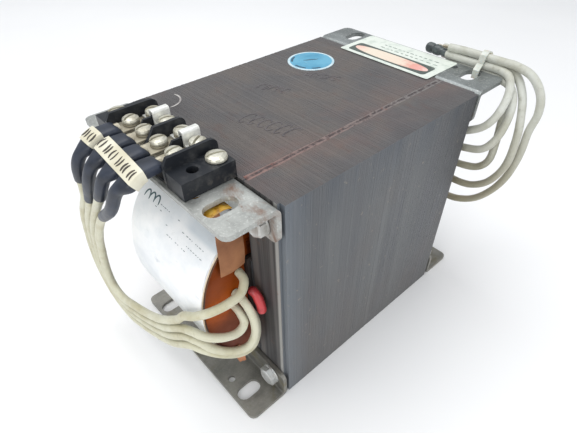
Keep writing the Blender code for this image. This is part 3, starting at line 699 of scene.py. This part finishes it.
def studio():
    world = bpy.data.worlds.new("studio")
    world.use_nodes = True
    backdrop = world.node_tree.nodes["Background"]
    backdrop.inputs["Color"].default_value = (0.93, 0.96, 1.0, 1.0)
    backdrop.inputs["Strength"].default_value = 0.62
    bpy.context.scene.world = world
    bpy.context.scene.view_settings.view_transform = "Standard"
    middle = (0, 0, 0.07)
    soft_light("overhead", (-0.3, -0.1, 1.3), middle, 1.2, 12.2)
    soft_light("front_fill", (0.5, -1.2, 0.7), middle, 0.9, 7.2)
    soft_light("side_fill", (1.3, 0.2, 0.6), middle, 0.9, 4.7)
    shape = bmesh.new()
    bmesh.ops.create_grid(shape, x_segments=1, y_segments=1, size=4)
    mesh = bpy.data.meshes.new("floor")
    shape.to_mesh(mesh)
    shape.free()
    mesh.materials.append(pale_floor())
    added("floor", mesh)


# --- leads

def metres(route):
    return [tuple(c * MM for c in point) for point in route]


def beside(route, offset):
    """A route moved sideways in the x-z plane by offset, positive towards the outside of the loop."""
    moved = []
    for i, (x, y, z) in enumerate(route):
        before, after = route[max(i - 1, 0)], route[min(i + 1, len(route) - 1)]
        angle = atan2(after[2] - before[2], after[0] - before[0])
        moved.append((x + offset * sin(angle), y, z - offset * cos(angle)))
    return moved


def wire(row, i, route, look):
    """A sleeved lead in place of its CAD tube, a little uneven in thickness. Returns it and its line."""
    name = f"{row}_lead_braid_{i + 1}"
    line = smooth_line(route, 0.5 * LEAD_D)
    drift = Random(name)
    swell = [drift.uniform(-1, 1) for _ in range(len(line) + 2)]

    def section(share):
        k = round(share * (len(line) - 1))
        fat = 1 + 0.05 * (swell[k] + swell[k + 1] + swell[k + 2]) / 3
        return oval(SLEEVE_D * fat, SLEEVE_D * fat, 14)

    made = piece(name, skinned(swept(line, section)), look, angle=60)
    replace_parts(made, f"{row}_lead_{i + 1}")
    return made, line


def front_leads(look):
    """Four leads from the ring lugs, down and round to the coil's right end."""
    lines = []
    for i in range(4):
        low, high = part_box(f"ring_lug_{i + 1}")
        exit_point = ((low.x + high.x) / 2, low.y - 3 * GAP, high.z - BARREL_D / 2)
        first = [tuple(e + s * MM for e, s in zip(exit_point, step)) for step in TAKE_OFF[i]]
        offset = (1.5 - i) * RIBBON_PITCH
        route = first + beside(metres(RIBBON), offset) + metres(RUN_IN[i])
        lines.append(wire("front", i, route, look))
    return lines


def rear_leads(look):
    """Five spare leads from the coil's right end, up behind the rear top flange."""
    return [wire("rear", i, metres(route), look) for i, route in enumerate(REAR_LEADS)]


# --- core

def inset_outline(points, amount):
    """A right-angled outline (x, z), anticlockwise, with every side moved inwards."""
    moved = []
    for i, (x, z) in enumerate(points):
        shift_x = shift_z = 0.0
        after = points[(i + 1) % len(points)]
        for (x0, z0), (x1, z1) in ((points[i - 1], (x, z)), ((x, z), after)):
            run = abs(x1 - x0) + abs(z1 - z0)
            shift_x += (z1 - z0) / run
            shift_z -= (x1 - x0) / run
        moved.append((x - amount * shift_x, z - amount * shift_z))
    return moved


def sheet_stack(outline, seed, trim=0):
    """Loops of a stack of sheets, each a little in or out, with a fine gap after each.

    The three outermost sheets at either end are shorter on the right by trim.
    """
    drift = Random(seed)
    low, high = CORE_LOW.y, CORE_HIGH.y
    count = round((high - low) / SHEET_PITCH)
    pitch = (high - low) / count
    burr = 0.07 * MM
    right = max(x for x, z in outline)
    loops = []
    for k in range(count):
        shape = outline
        if trim and (k < 3 or k >= count - 3):
            shape = [(x - trim if x == right else x, z) for x, z in outline]
        dx, dz = drift.uniform(-1, 1) * 0.04 * MM, drift.uniform(-1, 1) * 0.04 * MM
        edge = inset_outline(shape, 0.04 * MM + drift.random() * 0.07 * MM)
        gap = inset_outline(shape, 0.2 * MM)
        y = low + k * pitch
        loops.append([(x + dx, y + burr, z + dz) for x, z in edge])
        loops.append([(x + dx, y + pitch - burr, z + dz) for x, z in edge])
        if k < count - 1:
            loops.append([(x, y + pitch, z) for x, z in gap])
    return loops


def core_stacks():
    """The E and I laminations, sheet by sheet."""
    looks = [lamination_top(), lamination_side(), lamination_face()]
    low, high = CORE_LOW, CORE_HIGH
    back, back_side = -1.5 * UNIT, low.x
    rungs = [low.z + k * UNIT for k in range(7)]
    e_shape = [
        (back_side, rungs[0]), (high.x, rungs[0]), (high.x, rungs[1]), (back, rungs[1]), (back, rungs[2]),
        (high.x, rungs[2]), (high.x, rungs[4]), (back, rungs[4]), (back, rungs[5]), (high.x, rungs[5]),
        (high.x, rungs[6]), (back_side, rungs[6]),
    ]
    i_low, i_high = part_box("core_i_stack")
    i_shape = [(i_low.x, i_low.z), (i_high.x, i_low.z), (i_high.x, i_high.z), (i_low.x, i_high.z)]
    for name, outline, node, trim in (("e_laminations", e_shape, "core_e_stack", 0),
                                      ("i_laminations", i_shape, "core_i_stack", 2.6 * MM)):
        level = [abs(p[1] - q[1]) < 1e-9 for p, q in zip(outline, outline[1:] + outline[:1])]
        shape = skinned(sheet_stack(outline, name, trim), [0 if flat else 1 for flat in level], 2)
        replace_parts(piece(name, shape, looks, angle=20), node)


BEAD = [  # a seam's section: (across, lift) in mm
    (-1.7, -0.2), (-1.35, 0.12), (-1.0, 0.22), (-0.55, 0.04), (0.0, -0.06), (0.55, 0.04), (1.0, 0.22),
    (1.35, 0.12), (1.7, -0.2),
]


def weld_seams():
    """The welds that close the joint between the E and I stacks, above and below."""
    look = weld_look()
    steps = 300
    for name, z, side in (("weld_seam_top", CORE_HIGH.z, 1), ("weld_seam_bottom", CORE_LOW.z, -1)):
        loops = []
        for k in range(steps + 1):
            y = CORE_LOW.y + 1.5 * MM + (CORE_HIGH.y - CORE_LOW.y - 3 * MM) * k / steps
            wander = 0.35 * MM * lumps((0, y, 0), 9 * MM, 3 + side)
            fade = min(1.0, 8 * min(k, steps - k) / steps + 0.2)
            ripple = 0.06 * MM * sin(y / MM * 3.1 + 2 * lumps((1, y, 0), 5 * MM))
            loop = []
            for across, lift in BEAD:
                rough = 0.13 * MM * lumps((across, y, 0), 1.3 * MM, across) if lift > -0.1 else 0
                x = WELD_X + across * MM + wander
                rise = fade * (lift * MM + ripple * (lift > -0.1)) + rough
                loop.append((x, y, z + side * (rise if side > 0 else 0.6 * rise)))
            loops.append([*loop, (JOINT_X, y, z - side * 0.5 * MM)])
        piece(name, skinned(loops), look, angle=50)


# --- coil

def on_coil(x, angle, lift=0.0):
    """A point on the paper wrap's front: angle is 0 straight ahead and 90 on top."""
    depth, height = -WRAP_LOW.y - FACE_Y + lift, (WRAP_HIGH.z - WRAP_LOW.z) / 2 + lift
    a = radians(angle)
    return Vector((x, -FACE_Y - depth * cos(a), AXIS_Z + height * sin(a)))


def coil_ends():
    """Varnished film folded over the coil's two ends, creased and a little bulged."""
    look = amber_film()
    inner_y, inner_z = 2.7 * MM, 24.9 * MM
    outer_y, outer_z = -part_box("outer_winding")[0].y - FACE_Y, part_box("outer_winding")[1].z - AXIS_Z
    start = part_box("outer_winding")[1].x
    for name, side in (("film_end_right", 1), ("film_end_left", -1)):
        for tag, front in (("front", -1), ("rear", 1)):
            rows = []
            for k in range(81):
                a = radians(-88 + 176 * k / 80)
                c, v = cos(a), sin(a)
                near = (FACE_Y + inner_y * min(1, 3 * c),
                        AXIS_Z + inner_z * copysign(min(1, 1.6 * abs(v)), v))
                far = (FACE_Y + (outer_y - 0.2 * MM) * c, AXIS_Z + (outer_z - 0.2 * MM) * v)
                row = []
                for t in range(13):
                    share = t / 12
                    y = near[0] + (far[0] - near[0]) * share
                    z = near[1] + (far[1] - near[1]) * share
                    swell = 0.55 * MM * sin(pi * share) + 0.35 * MM
                    crease = 0.3 * MM * lumps((0, front * y, z), 9 * MM, side)
                    crease += 0.1 * MM * lumps((0, front * y, z), 3.4 * MM, 5 + side)
                    outer_x = side * (start + max(0.12 * MM, swell + crease))
                    inner_x = side * (start + 0.04 * MM)
                    row.append(((outer_x, front * y, z), (inner_x, front * y, z)))
                rows.append(row)
            piece(f"{name}_{tag}", sheet(rows), look, angle=60)


def wrap_edges():
    """Layers of paper and film that stand a little beyond the wrap at its ends."""
    paper = board("edge_paper", (222, 208, 186), (188, 168, 140), 0.6)
    film = board("edge_film", (108, 66, 40), (66, 40, 28), 0.35)
    end = WRAP_HIGH.x
    for side_name, side in (("right", 1), ("left", -1)):
        for tag, front in (("front", 1), ("rear", -1)):
            for kind, look, depth, proud in (("paper", paper, -0.55, 0.5), ("film", film, -1.15, 0.95)):
                loops = []
                for k in range(73):
                    angle = -88 + 176 * k / 72
                    wave = 0.35 * lumps((k, 0, 0), 7, side + depth)
                    stand = end + max(0.05, proud + wave) * MM
                    start = end - 1.5 * MM
                    top = depth * MM
                    low = top - 0.4 * MM
                    points = []
                    for x, lift in ((start, low), (stand, low), (stand, top), (start, top)):
                        at = on_coil(side * x, angle, lift)
                        points.append((at.x, front * at.y, at.z))
                    loops.append(points)
                piece(f"{kind}_edge_{side_name}_{tag}", skinned(loops), look, angle=60)


def coil_label():
    """The printed label round the coil's upper front, with a generic mark and rows of dashes."""
    edge = WRAP_HIGH.x - 0.2 * MM
    xs = [-edge + 2 * edge * t / 16 for t in range(17)]
    rows = []
    for k in range(41):
        angle = 26 + 48 * k / 40
        rows.append([(on_coil(x, angle, 0.16 * MM), on_coil(x, angle, 0.03 * MM)) for x in xs])
    piece("coil_label", sheet(rows), label_stock(), angle=50)
    ink = printed("teal_ink", (70, 96, 100), (120, 140, 142))
    humps = []
    for start, turn in ((-26.6, 53.4), (-22.6, 53.9), (-18.6, 54.4)):
        line = []
        for k in range(13):
            a = pi * k / 12
            across = start + 2.1 - 2.1 * cos(a)
            line.append(on_coil(across * MM, turn + 7 * sin(a), 0.17 * MM))
        humps.append(stroke(line, 0.8 * MM, 0.07 * MM, on_coil(0, 57) - on_coil(0, 57, -MM)))
    piece("coil_label_mark", merged(*humps), ink, angle=50)
    dashes = []
    drift = Random("dashes")
    for row, first, last in ((57, -13, 4), (53, -16, -11), (52, 8, 28), (47.5, -6, -1), (46, 12, 27),
                             (42, -1, 15)):
        x = first
        while x < last:
            run = drift.uniform(0.5, 1.9)
            if drift.random() < 0.72:
                line = [on_coil((x + run * t) * MM, row, 0.17 * MM) for t in (0, 0.5, 1)]
                up = on_coil(0, row) - on_coil(0, row, -MM)
                dashes.append(stroke(line, 0.34 * MM, 0.05 * MM, up))
            x += run + drift.uniform(0.3, 0.9)
    grey_ink = printed("grey_ink", (108, 120, 126), (176, 184, 188))
    piece("coil_label_dashes", merged(*dashes), grey_ink, angle=50)


def paper_flap():
    """The fish-paper flap that hangs from under the flange over the coil's upper corner."""
    low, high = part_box("insulation_flap")
    top = high.z
    below_top = [(-9, 0.2), (-5, 0.2), (-1.6, 1.2), (-0.2, 4.4), (0, 12)]
    route = [(high.x + x * MM, top - drop * MM) for x, drop in below_top]
    route += [(high.x - 0.3 * MM, (low.z + high.z) / 2), (high.x + 0.1 * MM, low.z + 9 * MM),
              (high.x - 0.5 * MM, low.z)]
    line = smooth_line([(x, 0, z) for x, z in route], 1.6 * MM)
    rows = []
    for k, point in enumerate(line):
        ahead = heading(line, k)
        out = Vector((-ahead.z, 0, ahead.x))
        share = k / (len(line) - 1)
        tongue = clamp((point.z - top + 11 * MM) / (3 * MM))
        front = low.y + 0.8 * MM * (1 - share)
        back = high.y - 0.5 * MM * share - 9.4 * MM * tongue
        row = []
        for t in range(9):
            y = front + (back - front) * t / 8
            wave = 0.3 * MM * lumps((0, y, point.z), 9 * MM) + 0.5 * MM * (2 * t / 8 - 1) ** 2 * share
            place = Vector((point.x, y, point.z)) - out * wave
            row.append((place, place - out * 0.55 * MM))
        rows.append(row)
    look = board("fish_paper", (158, 108, 72), (124, 80, 52))
    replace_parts(piece("paper_flap", sheet(rows), look, angle=50), "insulation_flap")


def film_tail():
    """Crumpled film between the coil and the flange, seen through the right slot."""
    route = [(-87.6, 128.6), (-86, 129.9), (-83, 130.7), (-79, 130.6), (-75.6, 129.9)]
    line = smooth_line([(0, y * MM, z * MM) for y, z in route], 0.7 * MM)
    rows = []
    for k, point in enumerate(line):
        ahead = heading(line, k)
        out = Vector((0, -ahead.z, ahead.y))
        row = []
        for t in range(9):
            x = (26 + 13.6 * t / 8) * MM
            place = Vector((x, point.y, point.z)) + out * 0.4 * MM * lumps((x, point.y, point.z), 3 * MM)
            row.append((place, place - out * 0.25 * MM))
        rows.append(row)
    piece("film_tail", sheet(rows), amber_tail(), angle=60)


def torn_paper():
    """A torn end of the winding's paper below the coil's right end."""
    rows = []
    drift = Random("torn")
    for k in range(9):
        z = (33 - 1.5 * k) * MM
        half = (3.6 - 0.25 * k) * MM
        middle = (-80.5 + 0.35 * k) * MM
        row = []
        for t in range(6):
            y = middle + half * (2 * t / 5 - 1) + drift.uniform(-0.3, 0.3) * MM
            x = 31.9 * MM + 0.35 * k * MM + 0.5 * MM * lumps((0, y, z), 4 * MM)
            low = z + (drift.uniform(-1.2, 1.2) * MM if k == 8 else 0)
            row.append(((x, y, low), (x - 0.35 * MM, y, low)))
        rows.append(row)
    kraft = board("torn_kraft", (206, 150, 112), (160, 98, 66))
    piece("torn_paper", sheet(rows), kraft, angle=50)


def red_sleeve():
    """The red sleeve over a splice, round at its ends and a little dented."""
    route = [(35.6, -69.6, 76.4), (39.6, -69, 74.4), (42.2, -68.8, 69.8), (43, -68.8, 63.8)]
    line = smooth_line(metres(route), 0.6 * MM)
    width = 4.6 * MM

    def section(share):
        near = min(share, 1 - share) * length_of(line) / (width / 2)
        fat = (1 - (1 - min(1.0, near)) ** 2) ** 0.5 if near < 1 else 1.0
        dent = 1 + 0.05 * sin(share * 17)
        return oval(max(0.25, fat) * width * dent, max(0.25, fat) * width, 18)

    made = piece("red_splice_sleeve", skinned(swept(line, section)), red_cloth(), angle=60)
    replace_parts(made, "red_sleeve")


# --- terminal block and leads' fittings

SHRINK_REACH = (31, 46, 29, 53)  # along each front lead (mm)


def shrink_tubes(fronts):
    """Heat-shrink over each lug's barrel, pressed flat there and round further down the lead."""
    look = heat_shrink()
    tubes = []
    for i, (_, line) in enumerate(fronts):
        start = line[0]
        head = [start + Vector((0, 6.9 * MM, -0.4 * MM)), start + Vector((0, 5.4 * MM, 0)), start]
        reach, gone, run = SHRINK_REACH[i] * MM, 0.0, []
        for p, q in zip(line, line[1:]):
            gone += (q - p).length
            if 1.5 * MM < gone < reach:
                run.append(q)
        path = smooth_line([*head, *run], 0.9 * MM)
        total = length_of(path)
        flat_end = 6.9 * MM + 6.4 * MM

        def section(share, total=total, seed=i):
            at = share * total
            shut = min(1.0, at / (2.0 * MM))
            roundness = clamp((at - flat_end) / (6.5 * MM))
            roundness = roundness ** 2 * (3 - 2 * roundness)
            wide = 8.8 * MM + 0.7 * MM * clamp((at - 3 * MM) / (4 * MM))
            wide += (5.2 * MM - wide) * roundness
            high = 1.4 * MM + 3.4 * MM * shut + 0.4 * MM * roundness
            fat = 1 + 0.025 * lumps((at, seed, 0), 4 * MM, seed)
            return oval(wide * fat, high * fat, 20, 2.0 + 1.1 * (1 - roundness) * shut)

        loops = swept(path, section)
        middle = path[-1]
        inner = [[middle + (Vector(p) - middle) * 0.76 for p in loops[-1]]]
        back = path[-3] - path[-1]
        inner.append([Vector(p) + back for p in inner[0]])
        tubes.append(piece(f"heat_shrink_{i + 1}", skinned(loops + inner), look, angle=50))
    return tubes


def marker_strip(path, name, x0, x1, span, skew, looks):
    """A thin card strip laid across the flat tubes and folded down at its ends, with generic dashes."""
    paper, ink = looks
    proud, thick = 2.75 * MM, 0.5 * MM
    rings = rings_along(path)
    step = length_of(path) / (len(path) - 1)

    def spot(x, along, lift):
        """A point above the path at x; the strip's left end starts further back by skew."""
        place = (along - skew * (x1 - x) / (x1 - x0)) / step
        k = max(0, min(len(rings) - 2, int(place)))
        point = rings[k][0].lerp(rings[k + 1][0], place - k)
        up = rings[k][2].lerp(rings[k + 1][2], place - k)
        return Vector((x, point.y, point.z)) + up * lift

    steps = max(4, round((x1 - x0) / (2.5 * MM)))
    fold = ((-0.2, -0.6), (-0.1, 0.5), (0.5, 0.93), (1.5, 1.0))
    across = [(x0 + a * MM, share) for a, share in fold]
    across += [(x0 + 1.5 * MM + (x1 - x0 - 3 * MM) * k / steps, 1.0) for k in range(1, steps)]
    across += [(x1 - a * MM, share) for a, share in fold[::-1]]
    places = [span[0] + (span[1] - span[0]) * k / 8 for k in range(9)]
    rows = []
    for x, share in across:
        lift = proud * share + 0.12 * MM * lumps((x, 0, 0), 6 * MM)
        inset = 0.45 * MM * ((x < x0) - (x > x1))
        rows.append([(spot(x, along, lift + thick), spot(x + inset, along, lift)) for along in places])
    drift = Random(name)
    count = max(1, round((x1 - x0) / (5.4 * MM)))
    bars = []
    for group in range(count):
        middle = x0 + (x1 - x0) * (group + 0.5) / count
        for tilt in (-0.85, 0.85):
            lean, bend = drift.uniform(-0.6, 0.6), drift.choice((-0.5, 0.5))
            line = []
            for k in range(5):
                share = k / 4
                x = middle + (tilt + lean * (share - 0.5) + bend * sin(pi * share)) * MM
                along = span[0] + (span[1] - span[0]) * (0.22 + 0.56 * share)
                line.append(spot(x, along, proud + thick))
            bars.append(stroke(line, drift.uniform(0.7, 0.95) * MM, 0.14 * MM, rings[4][2]))
    return [piece(name, sheet(rows), paper, angle=50),
            piece(f"{name}_dashes", merged(*bars), ink, angle=50)]


def marker_sleeves(fronts):
    """One strip over the first tube, and one that joins the other three."""
    paper = board("marker_cream", (222, 219, 202), (198, 192, 168), 0.5)
    ink = printed("marker_ink", (62, 56, 50), (112, 98, 78))
    looks = (paper, ink)
    first = smooth_line(fronts[0][1][:14], 0.6 * MM)
    third = smooth_line(fronts[2][1][:14], 0.6 * MM)
    single = marker_strip(first, "marker_strip_1", -24.9 * MM, -15.6 * MM,
                          (1.2 * MM, 6.8 * MM), 0.0, looks)
    joined = marker_strip(third, "marker_strip_2", -12.8 * MM, 18.4 * MM,
                          (1.6 * MM, 7.4 * MM), 1.5 * MM, looks)
    return [single, [], joined, []]


def moulded_block(look):
    """The terminal block, with the barriers between its poles cut back at the front."""
    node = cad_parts["terminal_block"]
    shape = bmesh.new()
    shape.from_mesh(node.data)
    shape.transform(node.matrix_world)
    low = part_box("terminal_block")[0]
    middles = [sum(corner.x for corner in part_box(f"ring_lug_{i}")) / 2 for i in range(1, 5)]
    walls = [(a + b) / 2 for a, b in zip(middles, middles[1:])]
    for vert in shape.verts:
        between = min(abs(vert.co.x - wall) for wall in walls) < 1.5 * MM
        if between and vert.co.y < low.y + 4.5 * MM and vert.co.z > low.z + 5 * MM:
            vert.co.y += 7.5 * MM
    made = piece("moulded_block", shape, look, angle=25)
    edge = made.modifiers.new("edge", "BEVEL")
    edge.width = 0.25 * MM
    edge.segments = 2
    edge.angle_limit = radians(40)
    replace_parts(made, "terminal_block")


def ring(width):
    return oval(width, width, 24)


def hexagon(flats):
    """24 points of a hexagon, given its width across the flats."""
    points = []
    for k in range(24):
        a = 2 * pi * k / 24
        radius = flats / 2 / cos((a + pi / 6) % (pi / 3) - pi / 6)
        points.append((radius * cos(a), radius * sin(a)))
    return points


def clamp_bolts(look):
    """The four through bolts: hex heads with a chamfered rim on thin flanges."""
    for name in [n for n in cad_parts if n.startswith("clamp_bolt")]:
        low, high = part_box(name)
        x, z = (low.x + high.x) / 2, (low.z + high.z) / 2
        seat = low.y + 5 * MM
        loops = []
        for y, outline, width in ((high.y, ring, 6.2), (seat, ring, 6.2), (seat, ring, 11.8),
                                  (seat - 0.8 * MM, ring, 11.6), (seat - 0.85 * MM, hexagon, 9.8),
                                  (seat - 3.7 * MM, hexagon, 9.8), (seat - 4.2 * MM, ring, 8.6),
                                  (seat - 4.0 * MM, ring, 6)):
            loops.append([(x + a, y, z + b) for a, b in outline(width * MM)])
        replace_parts(piece(f"hex_{name}", skinned(loops), look, angle=25), name)


def dark_terminal(line):
    """The dark insulated crimp terminal on the end of the first rear lead."""
    ahead = (line[-1] - line[-3]).normalized()
    path = [line[-1] - ahead * 3 * MM + ahead * 0.5 * k * MM for k in range(29)]

    def section(share):
        at = share * 14
        fat = 4.4 + 1.4 * clamp((at - 3.5) / 2) - 0.5 * (8 < at < 9.6)
        tip = min(1.0, (14.6 - at) / 2.4)
        width = fat * MM * (1 - (1 - tip) ** 2) ** 0.5
        return oval(width, width, 20)

    return piece("crimp_terminal", skinned(swept(path, section)), dark_vinyl(), angle=50)


def stripped_ends(lines):
    """Short twisted conductors at the cut ends of the other rear leads."""
    look = plated_metal("tinned_strands", (190, 184, 170), (134, 120, 96), 0.35)
    ends = []
    for i, line in enumerate(lines):
        ahead = (line[-1] - line[-2]).normalized()
        path = [line[-1] + ahead * (0.35 * k - 0.6) * MM for k in range(14)]

        def section(share):
            points = []
            for k in range(36):
                a = 2 * pi * k / 36
                radius = (0.72 + 0.16 * cos(6 * a)) * MM
                points.append((radius * cos(a + 5 * share), radius * sin(a + 5 * share)))
            return points

        ends.append(piece(f"bare_strands_{i + 2}", skinned(swept(path, section)), look))
    return ends


def tie_head():
    """The cable tie's locking head."""
    low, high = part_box("cable_tie")
    x = (low.x + high.x) / 2
    y, z = high.y - 0.4 * MM, low.z + 0.45 * (high.z - low.z)
    look = nylon("nylon_head", (210, 212, 204), (182, 184, 174))
    loops = []
    for grow, step in ((0.8, -1.5), (1.0, -1.1), (1.0, 0.8), (0.85, 1.2)):
        half_x, half_z = 2.6 * MM * grow, 2.3 * MM * grow
        outline = rounded_box(-half_x, half_x, -half_z, half_z, 0.6 * MM, 3)
        loops.append([(x + a, y + step * MM, z + b) for a, b in outline])
    piece("tie_head", skinned(loops), look, angle=50)


# --- labels and marks on the core

def top_label():
    """The rear label: white, with a dark panel that holds a faded oval; its lettering is left out."""
    base = FLANGE_TOP + 0.06 * MM
    white = printed("label_white", (214, 220, 211), (190, 200, 190), 0.5)
    dark = printed("label_dark", (70, 80, 74), (104, 112, 104), 0.56)
    x0, x1, y0, y1 = -33.6 * MM, 28.2 * MM, 59.6 * MM, 89.2 * MM
    outline = rounded_box(x0, x1, y0, y1, 1.2 * MM)
    piece("rear_label", prism(outline, base, base + 0.18 * MM), white)
    top = base + 0.16 * MM
    panel = rounded_box(x0 + 3.6 * MM, x1 - 4.2 * MM, y0 + 2.6 * MM, y0 + 15.2 * MM, 2.2 * MM)
    piece("rear_label_panel", prism(panel, top, top + 0.06 * MM), dark)
    middle, half = (x0 + x1) / 2 - 0.3 * MM, (x1 - x0) / 2 - 5.4 * MM
    ellipse = [(middle + a, y0 + 8.9 * MM + b) for a, b in oval(2 * half, 9.6 * MM, 48, 2.3)]
    piece("rear_label_oval", prism(ellipse, top, top + 0.1 * MM), faded_oval(middle, half))
    bars = []
    drift = Random("label")
    for row in (18.6, 22.6):
        x = x0 + 16 * MM
        while x < x1 - 8 * MM:
            run = drift.uniform(1.2, 3.4) * MM
            line = [(x + run * t, y0 + row * MM, top) for t in (0, 0.5, 1)]
            bars.append(stroke(line, 1.0 * MM, 0.06 * MM))
            x += run + drift.uniform(0.8, 1.6) * MM
    grey = printed("label_grey", (110, 124, 116), (176, 188, 180), 0.5)
    piece("rear_label_dashes", merged(*bars), grey)


def round_sticker():
    """The round sky-blue sticker on the core, with a pale rim and pen strokes."""
    x, y, z = -31.7 * MM, 33.4 * MM, CORE_HIGH.z
    rim = printed("sticker_rim", (196, 214, 220), (160, 190, 202), 0.5)
    piece("round_sticker", prism(disc(x, y, 13.3 * MM), z - 0.1 * MM, z + 0.18 * MM), rim)
    piece("round_sticker_face", prism(disc(x, y, 12.0 * MM), z, z + 0.23 * MM), sky_blue())
    pen = printed("pen_ink", (42, 78, 98), (70, 120, 144))
    top = z + 0.22 * MM
    slash = [(x + (1.2 - 1.1 * k) * MM, y + (4.6 - 1.9 * k) * MM, top) for k in range(5)]
    strokes = [stroke(slash, 1.1 * MM, 0.05 * MM)]
    for first, last in ((196, 236), (262, 302), (318, 346)):
        arc = []
        for k in range(9):
            a = radians(first + (last - first) * k / 8)
            arc.append((x + 10.8 * MM * cos(a), y + 10.8 * MM * sin(a), top))
        strokes.append(stroke(arc, 1.3 * MM, 0.05 * MM))
    piece("round_sticker_strokes", merged(*strokes), pen)


def chalk_arc():
    """A pale arc drawn on the core behind the terminal block."""
    x, y, z, radius = -45.6 * MM, -53.6 * MM, CORE_HIGH.z - 0.02 * MM, 8.2 * MM
    arc = []
    for k in range(19):
        a = radians(-8 + 6.6 * k)
        arc.append((x + radius * cos(a), y + radius * sin(a), z))
    chalk = printed("chalk", (176, 172, 168), (136, 130, 128), 0.45)
    piece("chalk_arc", stroke(arc, 0.9 * MM, 0.1 * MM), chalk)


def pen_scrawl():
    """Faint loops of marker pen on the core's top, where the photo has handwriting; they spell nothing."""
    ink = printed("old_marker", (70, 66, 70), (94, 88, 90), 0.42)
    drift = Random("scrawl")
    loops = []
    for x0, y0, count, size in ((-4, -34, 6, 5.2), (-26, -8, 5, 3.6), (-20, 20, 6, 3.2)):
        for k in range(count):
            x, y = x0 + k * size * 0.9, y0 + 1.3 * k
            wide, tall = size * drift.uniform(0.25, 0.4), size * drift.uniform(0.7, 1.1)
            lean, turn = drift.uniform(-0.4, 0.4), drift.uniform(200, 330)
            line = []
            for t in range(13):
                a = radians(40 + turn * t / 12)
                line.append(((x + wide * cos(a) + lean * sin(a)) * MM, (y + tall * sin(a)) * MM,
                             CORE_HIGH.z - 0.02 * MM))
            loops.append(stroke(line, 0.55 * MM, 0.07 * MM))
    piece("pen_scrawl", merged(*loops), ink)


# --- the whole object

def dress_all():
    """Finished materials for the CAD nodes, and the bolts and the block that scene.py reshapes."""
    # Three copies of one zinc plate, each painted to its light: lit on the front top bracket, painted
    # shade on the rear top bracket and darker painted shade on the bottom ones.
    lit_zinc = zinc_plate("zinc_lit", (178, 180, 176), (138, 140, 137), (122, 98, 84), 0.57)
    shaded_zinc = zinc_plate("zinc_shaded", (140, 138, 131), (108, 107, 102), (104, 98, 76), 0.54, 0.08)
    shaded_rear_zinc = zinc_plate("zinc_rear_shaded", (142, 147, 147), (114, 118, 117), (104, 90, 78), 0.6)
    dress(lit_zinc, "front_top_bracket")
    dress(shaded_rear_zinc, "rear_top_bracket")
    dress(shaded_zinc, "front_bottom_bracket", "rear_bottom_bracket")
    poles = range(1, 5)
    rows = ("front", "rear")
    nickel = plated_metal("nickel", (206, 204, 190), (166, 161, 144), 0.4, 0.55)
    bright_nickel = plated_metal("bright_nickel", (236, 237, 233), (206, 206, 200), 0.36, 0.35)
    dress(nickel, *[f"terminal_screw_{row}_{i}" for row in rows for i in poles])
    dress(nickel, "block_screw_left", "block_screw_right")
    dress(bright_nickel, "jumper_link_left", "jumper_link_right")
    tin = plated_metal("tinned_brass", (184, 178, 160), (146, 138, 118), 0.46, 0.5)
    dress(tin, *[f"{kind}_{i}" for kind in ("terminal_plate", "ring_lug") for i in poles])
    dress(tin, *[f"terminal_washer_{row}_{i}" for row in rows for i in poles])
    steel = plated_metal("bolt_steel", (200, 202, 200), (158, 154, 146), 0.34, 0.6)
    dress(steel, *[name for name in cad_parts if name.startswith("clamp_nut")])
    clamp_bolts(steel)
    moulded_block(phenolic())
    # The winding tube is near-black: painted shade for the dark gap in the core's window.
    dress(board("kraft_board", (52, 42, 36), (34, 29, 28)), "winding_tube")
    dress(amber_film(), "outer_winding", "winding_insulation")
    dress(copper(), "inner_winding")
    dress(wrap_paper(), "coil_wrap")
    dress(nylon("nylon_tie", (206, 206, 196), (172, 172, 160)), "cable_tie")


studio()
camera()
front = front_leads(braid("front_braid", (202, 200, 177), (182, 176, 144), (142, 130, 97)))
rear = rear_leads(braid("rear_braid", (194, 196, 188), (172, 172, 158), (116, 112, 92),
                        (142, 134, 104)))
tubes = shrink_tubes(front)
markers = marker_sleeves(front)
crimp = dark_terminal(rear[0][1])
for (made, line), strands in zip(rear[1:], stripped_ends([line for made, line in rear[1:]])):
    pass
core_stacks()
weld_seams()
coil_ends()
wrap_edges()
coil_label()
paper_flap()
film_tail()
torn_paper()
red_sleeve()
tie_head()
top_label()
round_sticker()
chalk_arc()
pen_scrawl()
dress_all()
